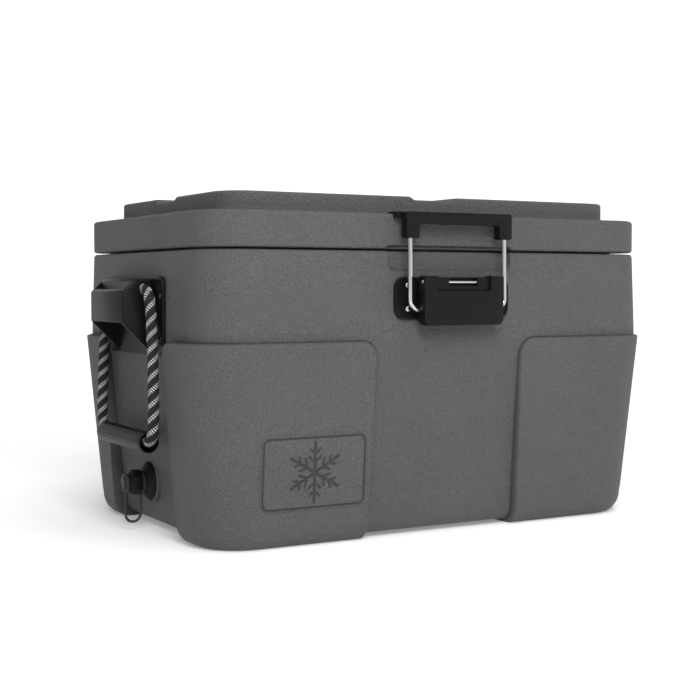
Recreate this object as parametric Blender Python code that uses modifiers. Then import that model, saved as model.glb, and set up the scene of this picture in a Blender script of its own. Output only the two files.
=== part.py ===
"""An insulated chest cooler with a hinged lid, a draw latch, rope handles and a drain.

Metres, +Z up. Every piece is drawn about the middle of the tub's floor. The root empty then moves
the whole cooler along Y, so that the origin is the middle of its bounding box at floor level.
"""

import math

import bmesh
import bpy
from mathutils import Matrix, Vector

# Overall sizes of the lid and tub.
LENGTH = 0.700
WIDTH = 0.468
HEIGHT = 0.4525
CORNER_RADIUS = 0.064
PARTING_Z = 0.3796
PARTING_GAP = 0.0026
CLEARANCE = 0.0003

# Tub: the core between the pads, as how far it stands out past the lid at each height.
TUB_FLARE = 0.0030
FLARE_Z = 0.266
CORE_MIDDLE_Z = 0.130
CORE_MIDDLE_INSET = (0.0100, 0.0129)
CORE_FOOT_Z = 0.030
CORE_FOOT_INSET = (0.0225, 0.0219)
CORE_BOTTOM_Z = 0.006
CORE_BOTTOM_FILLET = 0.017
SKIN = 0.0040
RIM_DEPTH = 0.032
RIM_WIDTH = 0.014

# Corner pads, which are also the feet.
PAD_TOP_Z = 0.262
PAD_PROUD = (0.0128, 0.0060)
PAD_FOOT_INSET = 0.0174
PAD_EDGE = 0.0035
PAD_RADIUS = 0.0735
PAD_FILLET = 0.024
PAD_INNER_RADIUS = 0.025
PAD_SPREAD = 0.005
PAD_FRONT_INNER_X = 0.1135
PAD_END_INNER_Y = 0.1105

# Finger recess in the tub's front rim.
RECESS_HALF = 0.0973
RECESS_BOTTOM_Z = 0.3534
RECESS_DEPTH = 0.0075
RECESS_RADIUS = 0.009

# Liner, which sets the room inside, and the foam between it and the skin.
WALL_TOTAL = 0.056
LINER_SKIN = 0.0030
LINER_DRAFT = 0.010
LINER_RADIUS = 0.045
FLOOR_Z = 0.040
FLOOR_FILLET = 0.010

# Lid, with a notch in its lower front edge above the finger recess.
RIM_Z = 0.4266
RIM_EDGE = 0.0045
LID_LOWER_EDGE = 0.0035
NOTCH_HEIGHT = 0.0039
NOTCH_DEPTH = 0.0060
NOTCH_SLOPE = 0.0040
DECK_INSET = (0.0394, 0.0386)
DECK_RADIUS = 0.0407
DECK_EDGE = 0.0040
CHANNEL_HALF = 0.0375
CHANNEL_SLOPE = 0.0070
CHANNEL_DEPTH = 0.0045
LID_PAN = 0.0040
PLUG_DEPTH = 0.013
PLUG_CLEARANCE = 0.005
GASKET_WIDTH = 0.006
GASKET_SINK = 0.0022

# Fasteners.
SCREW_HEAD_RADIUS = 0.0040
SCREW_HEAD_HEIGHT = 0.0022
SCREW_SHANK_RADIUS = 0.0019
SCREW_GRIP = 0.0030

# Rear hinges.
HINGE_X = 0.200
HINGE_WIDTH = 0.060
HINGE_MIDDLE = 0.024
HINGE_STANDOFF = 0.0100
KNUCKLE_RADIUS = 0.0075
HINGE_PIN_RADIUS = 0.0030
LEAF_THICKNESS = 0.0040
LEAF_HEIGHT = 0.044
LEAF_SCREW_X = 0.018
LEAF_CORNER = 0.004
KNUCKLE_MARGIN = 0.0016

# Draw latch on the front.
BASE_HALF = 0.090
BASE_Z = (0.2890, 0.3444)
BASE_RADIUS = 0.014
BASE_THICKNESS = 0.0042
BASE_BORDER = 0.0035
BASE_SINK = 0.0012
BASE_SCREW_X = 0.070
BASE_SCREW_Z = (0.3030, 0.3340)
LEVER_HALF = 0.062
LEVER_Z = (0.2815, 0.3458)
LEVER_DEPTH = 0.0241
LEVER_FACE_DEPTH = 0.0150
LEVER_BACK_HALF = 0.0585
LEVER_BACK_MARGIN = 0.0040
LEVER_GAP = 0.0035
LEVER_CORNER = 0.008
LEVER_WALL = 0.0040
PIVOT_Z = 0.3380
PIVOT_BACK = 0.0069
PIVOT_RADIUS = 0.0025
WINDOW_HALF = 0.0420
WINDOW_DROP = 0.0112
BOSS_RECESS = 0.0035
BOSS_SLOT_HALF = 0.0226
BAIL_DROP = 0.0360
BAIL_FORWARD = 0.0014
WIRE_END_SINK = 0.0050
WIRE_RADIUS = 0.0034
LEG_X = 0.0745
GRIP_HALF = 0.083
GRIP_Z = (0.3945, 0.4285)
GRIP_BAR_HEIGHT = 0.0152
GRIP_LEG_WIDTH = 0.0195
GRIP_THICKNESS = 0.0138
GRIP_STANDOFF = 0.0102
STRIKE_HALF = 0.0895
STRIKE_REACH = 0.0150
STRIKE_THICKNESS = 0.0022
STRIKE_LIP = 0.0055

# Rope handles.
BRACKET_HALF = 0.104
BRACKET_Z = (0.2420, 0.3450)
BRACKET_RADIUS = 0.012
BRACKET_THICKNESS = 0.0040
BRACKET_SINK = 0.0010
BRACKET_BORDER = 0.0040
BRACKET_SCREW_Y = 0.0925
BRACKET_SCREW_Z = (0.2640, 0.3198)
SEAT_DEPTH = 0.0008
BLOCK_HALF = 0.062
BLOCK_REACH = 0.0395
BLOCK_Z = (0.2847, 0.3420)
BLOCK_CHAMFER = 0.0175
BLOCK_WALL = 0.0040
TRAY_WIDTH = 0.0095
TRAY_FLOOR = 0.0045
ROPE_RADIUS = 0.0072
ROPE_HOLE_RADIUS = 0.0083
ROPE_STANDOFF = 0.0087
ROPE_Z = 0.3290
ROPE_HANG_OUT = 0.0030
GRIP_TUBE_Z = 0.1290
GRIP_TUBE_HALF = 0.0840
GRIP_TUBE_RADIUS = 0.0140
GRIP_TUBE_BORE = 0.0089
GRIP_TUBE_MOUTH = 0.0129
GRIP_TUBE_FLARE = 0.0200
GRIP_RIBS = 18
GRIP_RIB_DEPTH = 0.0007
# Half of the rope's route, from the middle of the bracket to the middle of the grip: (y, z).
ROPE_ROUTE = (
    (0.0000, 0.3290),
    (0.0300, 0.3290),
    (0.0580, 0.3290),
    (0.0680, 0.3272),
    (0.0765, 0.3218),
    (0.0830, 0.3110),
    (0.0885, 0.2850),
    (0.0935, 0.2450),
    (0.0970, 0.2050),
    (0.0983, 0.1700),
    (0.0975, 0.1500),
    (0.0940, 0.1385),
    (0.0865, 0.1312),
    (0.0750, 0.1290),
    (0.0400, 0.1290),
    (0.0015, 0.1290),
)

# Drain on the left end.
DRAIN_Z = 0.0660
DRAIN_BORE = 0.0080
DRAIN_NECK = 0.0125
DRAIN_HOLE = 0.0131
DRAIN_FLANGE = 0.0270
DRAIN_FLANGE_EDGE = 0.0020
DRAIN_FLANGE_RISE = 0.0105
DRAIN_SEAT_RADIUS = 0.0290
DRAIN_SEAT_PROUD = 0.0005
DRAIN_NECK_LENGTH = 0.0225
DRAIN_NUT_RADIUS = 0.0165
DRAIN_NUT_LENGTH = 0.0070
DRAIN_WASHER_LENGTH = 0.0020
CAP_RADIUS = 0.0175
CAP_LENGTH = 0.0125
CAP_BEVEL = 0.0045
CAP_FLUTES = 8
CAP_FLUTE_DEPTH = 0.0012
CAP_START = 0.0150
NUB_RADIUS = 0.0098
NUB_LENGTH = 0.0055
LANYARD_WIDTH = 0.0038
LANYARD_BOTTOM_Z = 0.0105

# Values worked out from the sizes above.
HALF_X = LENGTH / 2
HALF_Y = WIDTH / 2
TUB_TOP_Z = PARTING_Z - PARTING_GAP / 2
LID_BOTTOM_Z = PARTING_Z + PARTING_GAP / 2
INNER_X = HALF_X - WALL_TOTAL
INNER_Y = HALF_Y - WALL_TOTAL
LINER_RIM_INSET = RIM_WIDTH + CLEARANCE
HINGE_Y = HALF_Y + HINGE_STANDOFF
HINGE_Z = PARTING_Z
BASE_BACK_Y = -(HALF_Y + TUB_FLARE * (PARTING_Z - BASE_Z[0]) / (PARTING_Z - FLARE_Z) + CLEARANCE)
BASE_FRONT_Y = BASE_BACK_Y - BASE_THICKNESS
LEVER_BACK_Y = BASE_FRONT_Y - LEVER_GAP
LEVER_FRONT_Y = LEVER_BACK_Y - LEVER_DEPTH
PIVOT_Y = LEVER_FRONT_Y + PIVOT_BACK
BAIL_Z = PIVOT_Z - BAIL_DROP
GRIP_BACK_Y = -(HALF_Y + GRIP_STANDOFF)
GRIP_FRONT_Y = GRIP_BACK_Y - GRIP_THICKNESS
WIRE_Y = GRIP_BACK_Y - GRIP_THICKNESS / 2
BAIL_Y = WIRE_Y - BAIL_FORWARD
SEAT_X = HALF_X + TUB_FLARE - SEAT_DEPTH
BRACKET_BACK_X = SEAT_X + CLEARANCE
BRACKET_FRONT_X = BRACKET_BACK_X + BRACKET_THICKNESS
BLOCK_FRONT_X = BRACKET_FRONT_X + BLOCK_REACH
ROPE_X = BRACKET_FRONT_X + ROPE_STANDOFF
KNUCKLE_BACK_Y = HINGE_Y + KNUCKLE_RADIUS
FRAME_Y = -(KNUCKLE_BACK_Y + LEVER_FRONT_Y) / 2

CORNER_STEPS = 5
ROUND_SIDES = 20
SMALL_SIDES = 14


# ---------------------------------------------------------------- scene, materials, collections


def clear_scene():
    """Removes whatever the file opened with."""
    for thing in list(bpy.data.objects):
        bpy.data.objects.remove(thing, do_unlink=True)


def collection(name):
    """A new collection in the scene."""
    group = bpy.data.collections.new(name)
    bpy.context.scene.collection.children.link(group)
    return group


def finish(name, colour, roughness, metallic=0.0):
    """A Principled material of one colour."""
    made = bpy.data.materials.new(name)
    made.use_nodes = True
    made.diffuse_color = (*colour, 1.0)
    shader = made.node_tree.nodes["Principled BSDF"]
    shader.inputs["Base Color"].default_value = (*colour, 1.0)
    shader.inputs["Roughness"].default_value = roughness
    shader.inputs["Metallic"].default_value = metallic
    return made


clear_scene()
PARTS = collection("chest_cooler")
CUTTERS = collection("cutters")
SHELL_GREY = finish("shell_grey", (0.137, 0.139, 0.144), 0.62)
LINER_GREY = finish("liner_grey", (0.62, 0.63, 0.64), 0.45)
FOAM = finish("foam", (0.78, 0.72, 0.52), 0.95)
BLACK = finish("black_nylon", (0.026, 0.026, 0.027), 0.50)
RUBBER = finish("black_rubber", (0.018, 0.018, 0.018), 0.80)
ROPE = finish("rope", (0.045, 0.045, 0.046), 0.90)
STEEL = finish("stainless_steel", (0.62, 0.60, 0.58), 0.22, 1.0)


# ---------------------------------------------------------------- shapes


def new_object(name, data, material=None, group=PARTS):
    """An object for that mesh or curve."""
    made = bpy.data.objects.new(name, data)
    group.objects.link(made)
    if material is not None:
        data.materials.clear()
        data.materials.append(material)
    return made


def mesh_from(bm, name):
    """A mesh from a bmesh, with doubles merged and every face pointing out."""
    bmesh.ops.remove_doubles(bm, verts=bm.verts, dist=1e-6)
    bmesh.ops.recalc_face_normals(bm, faces=bm.faces)
    mesh = bpy.data.meshes.new(name)
    bm.to_mesh(mesh)
    bm.free()
    return mesh


def as_solid(source, material=None, group=PARTS):
    """A curve, or an object with modifiers, made a plain mesh in the same place under its own name."""
    bpy.context.view_layer.update()
    evaluated = source.evaluated_get(bpy.context.evaluated_depsgraph_get())
    bm = bmesh.new()
    baked = bpy.data.meshes.new_from_object(evaluated)
    bm.from_mesh(baked)
    bmesh.ops.transform(bm, matrix=source.matrix_world, verts=bm.verts)
    name = source.name
    bpy.data.objects.remove(source, do_unlink=True)
    bpy.data.meshes.remove(baked)
    return new_object(name, mesh_from(bm, name), material, group)


def box(name, low, high, material=None, group=PARTS):
    """A block between two opposite corners."""
    bm = bmesh.new()
    bmesh.ops.create_cube(bm, size=1.0)
    size = [b - a for a, b in zip(low, high)]
    middle = [(a + b) / 2 for a, b in zip(low, high)]
    bmesh.ops.scale(bm, vec=size, verts=bm.verts)
    bmesh.ops.translate(bm, vec=middle, verts=bm.verts)
    return new_object(name, mesh_from(bm, name), material, group)


def along(axis):
    """The rotation that turns +Z to an axis."""
    return Vector((0, 0, 1)).rotation_difference(Vector(axis)).to_matrix().to_4x4()


def rods(name, places, material=None, group=PARTS, sides=SMALL_SIDES):
    """Cylinders or cones, each given as (middle, axis, radius, length) or with a second radius at its far end."""
    bm = bmesh.new()
    for middle, axis, radius, length, *far in places:
        bmesh.ops.create_cone(
            bm,
            cap_ends=True,
            segments=sides,
            radius1=radius,
            radius2=far[0] if far else radius,
            depth=length,
            matrix=Matrix.Translation(middle) @ along(axis),
        )
    return new_object(name, mesh_from(bm, name), material, group)


def rounded(corners, steps=4):
    """The points of a closed outline whose corners, given as (u, v, radius), are rounded."""
    outline = []
    for i, (u, v, radius) in enumerate(corners):
        here = Vector((u, v))
        if radius == 0:
            outline.append((u, v))
            continue
        before = (Vector(corners[i - 1][:2]) - here).normalized()
        after = (Vector(corners[(i + 1) % len(corners)][:2]) - here).normalized()
        half = before.angle(after) / 2
        centre = here + (before + after).normalized() * (radius / math.sin(half))
        start = here + before * (radius / math.tan(half)) - centre
        end = here + after * (radius / math.tan(half)) - centre
        first = math.atan2(start.y, start.x)
        sweep = (math.atan2(end.y, end.x) - first + math.pi) % (2 * math.pi) - math.pi
        for step in range(steps + 1):
            angle = first + sweep * step / steps
            outline.append((centre.x + radius * math.cos(angle), centre.y + radius * math.sin(angle)))
    return outline


def rectangle(low, high, radius, steps=4):
    """A rectangle's outline with round corners."""
    corners = [(low[0], low[1]), (high[0], low[1]), (high[0], high[1]), (low[0], high[1])]
    return rounded([(u, v, radius) for u, v in corners], steps)


# Each plane's first two columns are the outline's own directions, and the third is the way it is thick.
PLANES = {
    "XY": Matrix(((1, 0, 0), (0, 1, 0), (0, 0, 1))),
    "XZ": Matrix(((1, 0, 0), (0, 0, -1), (0, 1, 0))),
    "YZ": Matrix(((0, 0, 1), (1, 0, 0), (0, 1, 0))),
}


def plate(name, plane, outline, start, end, material=None, group=PARTS):
    """A flat outline given a thickness from start to end along the axis that its plane leaves out."""
    curve = bpy.data.curves.new(name, "CURVE")
    curve.dimensions = "2D"
    curve.fill_mode = "BOTH"
    curve.extrude = abs(end - start) / 2
    spline = curve.splines.new("POLY")
    spline.points.add(len(outline) - 1)
    for point, (u, v) in zip(spline.points, outline):
        point.co = (u, v, 0.0, 1.0)
    spline.use_cyclic_u = True
    made = new_object(name, curve)
    middle = (start + end) / 2
    place = {"XY": (0, 0, middle), "XZ": (0, middle, 0), "YZ": (middle, 0, 0)}[plane]
    made.matrix_world = Matrix.Translation(place) @ PLANES[plane].to_4x4()
    return as_solid(made, material, group)


def loft(name, rings, material=None, group=PARTS):
    """A closed solid through rings of points that have one number of points each, bottom ring first."""
    bm = bmesh.new()
    rows = [[bm.verts.new(point) for point in ring] for ring in rings]
    for low, high in zip(rows, rows[1:]):
        for i in range(len(low)):
            j = (i + 1) % len(low)
            bm.faces.new((low[i], low[j], high[j], high[i]))
    bm.faces.new(list(reversed(rows[0])))
    bm.faces.new(rows[-1])
    return new_object(name, mesh_from(bm, name), material, group)


def ring_at(z, half_x, half_y, radius, steps=CORNER_STEPS):
    """A level rounded rectangle of points at a height."""
    return [(x, y, z) for x, y in rectangle((-half_x, -half_y), (half_x, half_y), radius, steps)]


def turned(name, profile, middle, axis, material=None, group=PARTS, sides=ROUND_SIDES):
    """A solid of revolution: the profile is (radius, height) pairs, and the heights run along the axis."""
    mesh = bpy.data.meshes.new(name)
    closed = profile[0][0] > 0
    edges = [(i, i + 1) for i in range(len(profile) - 1)]
    if closed:
        edges.append((len(profile) - 1, 0))
    mesh.from_pydata([(radius, 0.0, height) for radius, height in profile], edges, [])
    made = new_object(name, mesh)
    screw = made.modifiers.new("turn", "SCREW")
    screw.steps = sides
    screw.render_steps = sides
    screw.use_merge_vertices = True
    screw.merge_threshold = 1e-5
    made.matrix_world = Matrix.Translation(middle) @ along(axis)
    return as_solid(made, material, group)


def tube(name, points, radius, material, resolution=2):
    """A wire or rope along points, with its ends filled."""
    curve = bpy.data.curves.new(name, "CURVE")
    curve.dimensions = "3D"
    curve.bevel_depth = radius
    curve.bevel_resolution = resolution
    curve.use_fill_caps = True
    spline = curve.splines.new("POLY")
    spline.points.add(len(points) - 1)
    for point, place in zip(spline.points, points):
        point.co = (*place, 1.0)
    return new_object(name, curve, material)


def smooth_line(points, per_span):
    """Points along the Catmull-Rom curve through a route's own points."""
    ends = [2 * points[0] - points[1], *points, 2 * points[-1] - points[-2]]
    line = []
    for a, b, c, d in zip(ends, ends[1:], ends[2:], ends[3:]):
        for step in range(per_span):
            t = step / per_span
            line.append(
                0.5 * (2 * b + (c - a) * t + (2 * a - 5 * b + 4 * c - d) * t**2 + (3 * b - a - 3 * c + d) * t**3)
            )
    return [*line, points[-1]]


def combine(piece, other, operation):
    """Cuts another solid from a piece, joins it on, or keeps what they share."""
    CUTTERS.objects.link(other)
    PARTS.objects.unlink(other)
    other.parent = piece
    other.hide_render = True
    other.display_type = "WIRE"
    boolean = piece.modifiers.new(other.name, "BOOLEAN")
    boolean.operation = operation
    boolean.object = other
    return piece


def cut(piece, *others):
    """Takes other solids away from a piece."""
    for other in others:
        combine(piece, other, "DIFFERENCE")
    return piece


def join(piece, *others):
    """Adds other solids to a piece."""
    for other in others:
        combine(piece, other, "UNION")
    return piece


def bevel(piece, width, segments=2, angle=40.0):
    """Rounds a piece's sharp edges."""
    rounding = piece.modifiers.new("edges", "BEVEL")
    rounding.width = width
    rounding.segments = segments
    rounding.limit_method = "ANGLE"
    rounding.angle_limit = math.radians(angle)
    return piece


def shade(piece):
    """Smooth shading that keeps the sharp edges."""
    if piece.type == "MESH":
        piece.data.shade_smooth()
        piece.data.set_sharp_from_angle(angle=math.radians(35))
    return piece


# ---------------------------------------------------------------- moving bodies


def body_empty(name, place, parent=None):
    """An empty on a joint's axis, which carries a body's pieces."""
    made = bpy.data.objects.new(name + "_axis", None)
    PARTS.objects.link(made)
    made.parent = parent
    made.location = place
    return made


ROOT = body_empty("cooler", (0.0, FRAME_Y, 0.0))
LID_BODY = body_empty("lid", (0.0, HINGE_Y, HINGE_Z), ROOT)
LEVER_BODY = body_empty("latch_lever", (0.0, PIVOT_Y, PIVOT_Z), ROOT)
BAIL_BODY = body_empty("latch_bail", (0.0, BAIL_Y, BAIL_Z), ROOT)
SEAL_BODY = body_empty("drain_seal", (-SEAT_X, 0.0, DRAIN_Z), ROOT)
CAP_BODY = body_empty("drain_cap", (-SEAT_X, 0.0, DRAIN_Z), ROOT)
HANDLE_BODY = {
    side: body_empty(side + "_handle", (sign * ROPE_X, 0.0, ROPE_Z), ROOT)
    for side, sign in (("left", -1), ("right", 1))
}
GRIP_BODY = {
    side: body_empty(side + "_grip", (sign * (ROPE_X + ROPE_HANG_OUT), 0.0, GRIP_TUBE_Z), ROOT)
    for side, sign in (("left", -1), ("right", 1))
}


def carry(body, *pieces):
    """Hangs pieces on a body's empty without moving them."""
    for piece in pieces:
        piece.parent = body
        if body is not ROOT:
            piece.location = piece.location - body.location
        shade(piece)


# ---------------------------------------------------------------- screws


def screw_mesh(clamped):
    """A pan-head screw along +Z: its head stands on z = 0, and its shank goes below through what it clamps."""
    r, h, s = SCREW_HEAD_RADIUS, SCREW_HEAD_HEIGHT, SCREW_SHANK_RADIUS
    length = clamped + SCREW_GRIP
    profile = [(0, h), (0.6 * r, 0.88 * h), (r, 0.3 * h), (r, 0), (s, 0), (s, -length), (0, -length)]
    made = turned("screw", profile, (0, 0, 0), (0, 0, 1), STEEL, sides=8)
    mesh = made.data
    bpy.data.objects.remove(made, do_unlink=True)
    return mesh


HINGE_SCREW = screw_mesh(LEAF_THICKNESS)
LATCH_SCREW = screw_mesh(BASE_THICKNESS - BASE_SINK)
BRACKET_SCREW = screw_mesh(BRACKET_THICKNESS - BRACKET_SINK)


def screw(name, mesh, place, axis, body):
    """One screw whose head stands on a place and faces along an axis."""
    made = new_object(name, mesh)
    made.rotation_mode = "QUATERNION"
    made.rotation_quaternion = Vector((0, 0, 1)).rotation_difference(Vector(axis))
    made.location = place
    carry(body, made)


def screw_holes(name, places, axis):
    """Cutters for the shanks of screws whose heads stand at those places."""
    length = 2 * (LEAF_THICKNESS + SCREW_GRIP + CLEARANCE)
    radius = SCREW_SHANK_RADIUS + CLEARANCE
    return rods(name, [(place, axis, radius, length) for place in places], sides=10)


# ---------------------------------------------------------------- tub


def lid_half(inset):
    """The lid's half length, half width and corner radius, drawn in by an inset."""
    return HALF_X - inset, HALF_Y - inset, CORNER_RADIUS - inset


def core_rings(inset, top_z):
    """The tub's core between the pads, from its underside up to a height."""
    rings = []
    foot = [half - taper - inset for half, taper in zip((HALF_X, HALF_Y), CORE_FOOT_INSET)]
    steps = 3
    for step in range(steps + 1):
        angle = math.pi / 2 * step / steps
        draw_in = CORE_BOTTOM_FILLET * (1 - math.sin(angle))
        z = CORE_BOTTOM_Z + inset + CORE_BOTTOM_FILLET * (1 - math.cos(angle))
        rings.append(ring_at(z, foot[0] - draw_in, foot[1] - draw_in, CORNER_RADIUS - draw_in))
    middle = [half - taper - inset for half, taper in zip((HALF_X, HALF_Y), CORE_MIDDLE_INSET)]
    rings.append(ring_at(CORE_MIDDLE_Z, *middle, CORNER_RADIUS - inset))
    flare = [half + TUB_FLARE - inset for half in (HALF_X, HALF_Y)]
    rings.append(ring_at(FLARE_Z, *flare, CORNER_RADIUS - inset))
    rings.append(ring_at(top_z, *lid_half(inset)))
    return rings


def pad_rings(inset):
    """The block that the four corner pads are cut from."""
    half = [size + proud for size, proud in zip((HALF_X, HALF_Y), PAD_PROUD)]
    foot = [size - PAD_FOOT_INSET for size in half]
    rings = []
    steps = 4
    for step in range(steps + 1):
        angle = math.pi / 2 * step / steps
        draw_in = PAD_FILLET * (1 - math.sin(angle)) + inset
        z = inset + PAD_FILLET * (1 - math.cos(angle))
        rings.append(ring_at(z, foot[0] - draw_in, foot[1] - draw_in, PAD_RADIUS - draw_in))
    top = [size - inset for size in half]
    rings.append(ring_at(PAD_TOP_Z - PAD_EDGE - inset, *top, PAD_RADIUS - inset))
    drawn = [size - PAD_EDGE for size in top]
    rings.append(ring_at(PAD_TOP_Z - inset, *drawn, PAD_RADIUS - inset - PAD_EDGE))
    return rings


def gap_outline(half, inset):
    """The outline of the gap between two pads, which widens round their top corners."""
    low, top = half + PAD_SPREAD + inset, half + inset
    shoulder = top + PAD_INNER_RADIUS
    floor, above = -0.02, PAD_TOP_Z - inset
    sides = []
    for sign in (1, -1):
        arc = [(sign * low, floor)]
        for step in range(5):
            angle = math.pi / 2 * step / 4
            u = shoulder - PAD_INNER_RADIUS * math.cos(angle)
            v = above - PAD_INNER_RADIUS * (1 - math.sin(angle))
            arc.append((sign * u, v))
        arc.append((sign * shoulder, above + 0.02))
        sides.append(arc)
    return sides[0] + sides[1][::-1]


def tub_solid(name, inset, top_z, material=None):
    """The tub's core with its four corner pads, drawn in by an inset."""
    reach = 0.6
    pads = loft(name + "_pads", pad_rings(inset))
    cut(
        pads,
        plate(name + "_front_gap", "XZ", gap_outline(PAD_FRONT_INNER_X, inset), -reach, reach),
        plate(name + "_end_gap", "YZ", gap_outline(PAD_END_INNER_Y, inset), -reach, reach),
    )
    body = loft(name, core_rings(inset, top_z), material)
    return join(body, as_solid(pads))


def end_wall_at(z):
    """How far the tub's lower end wall stands from the middle at a height."""
    share = (z - CORE_FOOT_Z) / (CORE_MIDDLE_Z - CORE_FOOT_Z)
    return HALF_X - CORE_FOOT_INSET[0] + share * (CORE_FOOT_INSET[0] - CORE_MIDDLE_INSET[0])


DRAIN_SEAT_X = end_wall_at(DRAIN_Z + DRAIN_SEAT_RADIUS) + DRAIN_SEAT_PROUD


def bracket_screw_places(sign):
    """Where the heads of one bracket's four screws stand."""
    x = sign * (BRACKET_FRONT_X - BRACKET_SINK)
    return [(x, y, z) for z in BRACKET_SCREW_Z for y in (-BRACKET_SCREW_Y, BRACKET_SCREW_Y)]


def latch_screw_places():
    """Where the heads of the latch's four screws stand."""
    y = BASE_FRONT_Y + BASE_SINK
    return [(x, y, z) for z in BASE_SCREW_Z for x in (-BASE_SCREW_X, BASE_SCREW_X)]


def leaf_faces():
    """The outer face of the tub's leaves and of the lid's."""
    flare = TUB_FLARE * (LEAF_HEIGHT + KNUCKLE_RADIUS) / (PARTING_Z - FLARE_Z)
    return HALF_Y + flare + CLEARANCE + LEAF_THICKNESS, HALF_Y + CLEARANCE + LEAF_THICKNESS


def leaf_screw_places(part):
    """Where the heads of the screws in the tub's or the lid's leaves stand."""
    offset = KNUCKLE_RADIUS + KNUCKLE_MARGIN + 0.6 * LEAF_HEIGHT
    y = leaf_faces()[0 if part == "tub" else 1]
    z = HINGE_Z - offset if part == "tub" else HINGE_Z + offset
    return [(hinge + x, y, z) for hinge in (-HINGE_X, HINGE_X) for x in (-LEAF_SCREW_X, LEAF_SCREW_X)]


def build_tub():
    """The outer skin, the foam and the liner."""
    rim_bottom = TUB_TOP_Z - RIM_DEPTH
    skin = tub_solid("tub_shell", 0.0, TUB_TOP_Z, SHELL_GREY)
    join(
        skin,
        rods(
            "drain_seat",
            [((-(DRAIN_SEAT_X - 0.006), 0, DRAIN_Z), (1, 0, 0), DRAIN_SEAT_RADIUS, 0.012)],
            sides=ROUND_SIDES - 2,
        ),
    )
    cavity = tub_solid("tub_cavity", SKIN, rim_bottom)
    mouth = loft(
        "tub_mouth",
        [ring_at(z, *lid_half(RIM_WIDTH)) for z in (rim_bottom - 0.02, TUB_TOP_Z + 0.01)],
    )
    recess_low = (-RECESS_HALF, RECESS_BOTTOM_Z)
    recess_high = (RECESS_HALF, TUB_TOP_Z + 0.02)
    recess_face = HALF_Y - RECESS_DEPTH
    recess = plate(
        "finger_recess",
        "XZ",
        rectangle(recess_low, recess_high, RECESS_RADIUS),
        -recess_face,
        -(HALF_Y + 0.02),
    )
    cut(
        skin,
        as_solid(cavity),
        mouth,
        recess,
        rods("tub_drain_hole", [((-HALF_X, 0, DRAIN_Z), (1, 0, 0), DRAIN_HOLE, 0.12)], sides=ROUND_SIDES),
        screw_holes("tub_hinge_holes", leaf_screw_places("tub"), (0, 1, 0)),
        screw_holes("tub_latch_holes", latch_screw_places(), (0, 1, 0)),
    )
    for side, sign in (("left", -1), ("right", 1)):
        low = (-BRACKET_HALF - CLEARANCE, BRACKET_Z[0] - CLEARANCE)
        high = (BRACKET_HALF + CLEARANCE, BRACKET_Z[1] + CLEARANCE)
        seat = rectangle(low, high, BRACKET_RADIUS)
        cut(
            skin,
            plate(side + "_seat", "YZ", seat, sign * SEAT_X, sign * (SEAT_X + 0.02)),
            screw_holes(side + "_bracket_holes", bracket_screw_places(sign), (1, 0, 0)),
        )
    carry(ROOT, skin)

    gap = SKIN + CLEARANCE
    foam_top = TUB_TOP_Z - LINER_SKIN - CLEARANCE
    foam = tub_solid("tub_foam", gap, rim_bottom - CLEARANCE, FOAM)
    foam_mouth = [ring_at(z, *lid_half(LINER_RIM_INSET)) for z in (rim_bottom - 0.02, foam_top)]
    join(foam, loft("foam_mouth", foam_mouth))
    cut(
        foam,
        liner_block("foam_room", CLEARANCE, TUB_TOP_Z + 0.01),
        rods("foam_drain_hole", [((-HALF_X, 0, DRAIN_Z), (1, 0, 0), DRAIN_HOLE, 0.30)], sides=ROUND_SIDES),
    )
    carry(ROOT, foam)

    liner = liner_block("tub_liner", 0.0, foam_top + CLEARANCE, LINER_GREY)
    flange = [ring_at(z, *lid_half(LINER_RIM_INSET)) for z in (foam_top + CLEARANCE, TUB_TOP_Z)]
    join(liner, loft("liner_flange", flange))
    cut(
        liner,
        liner_block("liner_room", -LINER_SKIN, TUB_TOP_Z + 0.01),
        rods("liner_drain_hole", [((-INNER_X, 0, DRAIN_Z), (1, 0, 0), DRAIN_HOLE, 0.06)], sides=ROUND_SIDES),
    )
    carry(ROOT, liner)


def liner_block(name, outset, top_z, material=None):
    """The outside of the liner's pan, made larger by an outset; a negative one gives the room inside it."""
    wall = LINER_SKIN + outset
    bottom = FLOOR_Z - wall

    def ring(z, draw_in):
        """The pan's outline at a height, with the draft of its walls."""
        inset = draw_in - wall + LINER_DRAFT * (TUB_TOP_Z - z) / (TUB_TOP_Z - FLOOR_Z)
        return ring_at(z, INNER_X - inset, INNER_Y - inset, LINER_RADIUS - inset, 5)

    rings = []
    steps = 2
    for step in range(steps + 1):
        angle = math.pi / 2 * step / steps
        z = bottom + FLOOR_FILLET * (1 - math.cos(angle))
        rings.append(ring(z, FLOOR_FILLET * (1 - math.sin(angle))))
    rings.append(ring(top_z, 0.0))
    return loft(name, rings, material)


# ---------------------------------------------------------------- lid


def edge_rings(half_x, half_y, radius, z_from, z_to, edge, steps=3):
    """Rings round the upper edge of a block, from the side's end at z_from to the top at z_to."""
    rings = []
    for step in range(steps + 1):
        angle = math.pi / 2 * step / steps
        draw_in = edge * (1 - math.cos(angle))
        z = z_from + (z_to - z_from) * math.sin(angle)
        rings.append(ring_at(z, half_x - draw_in, half_y - draw_in, radius - draw_in))
    return rings


def channel(name, along_x):
    """The cutter for one of the two channels that cross the deck."""
    low, top = CHANNEL_HALF - CHANNEL_SLOPE, CHANNEL_HALF + CHANNEL_SLOPE
    floor = HEIGHT - CHANNEL_DEPTH - (CLEARANCE if along_x else 0.0)
    outline = [(-low, floor), (low, floor), (top, HEIGHT + CHANNEL_DEPTH), (-top, HEIGHT + CHANNEL_DEPTH)]
    return plate(name, "YZ" if along_x else "XZ", outline, -0.6, 0.6)


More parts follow.
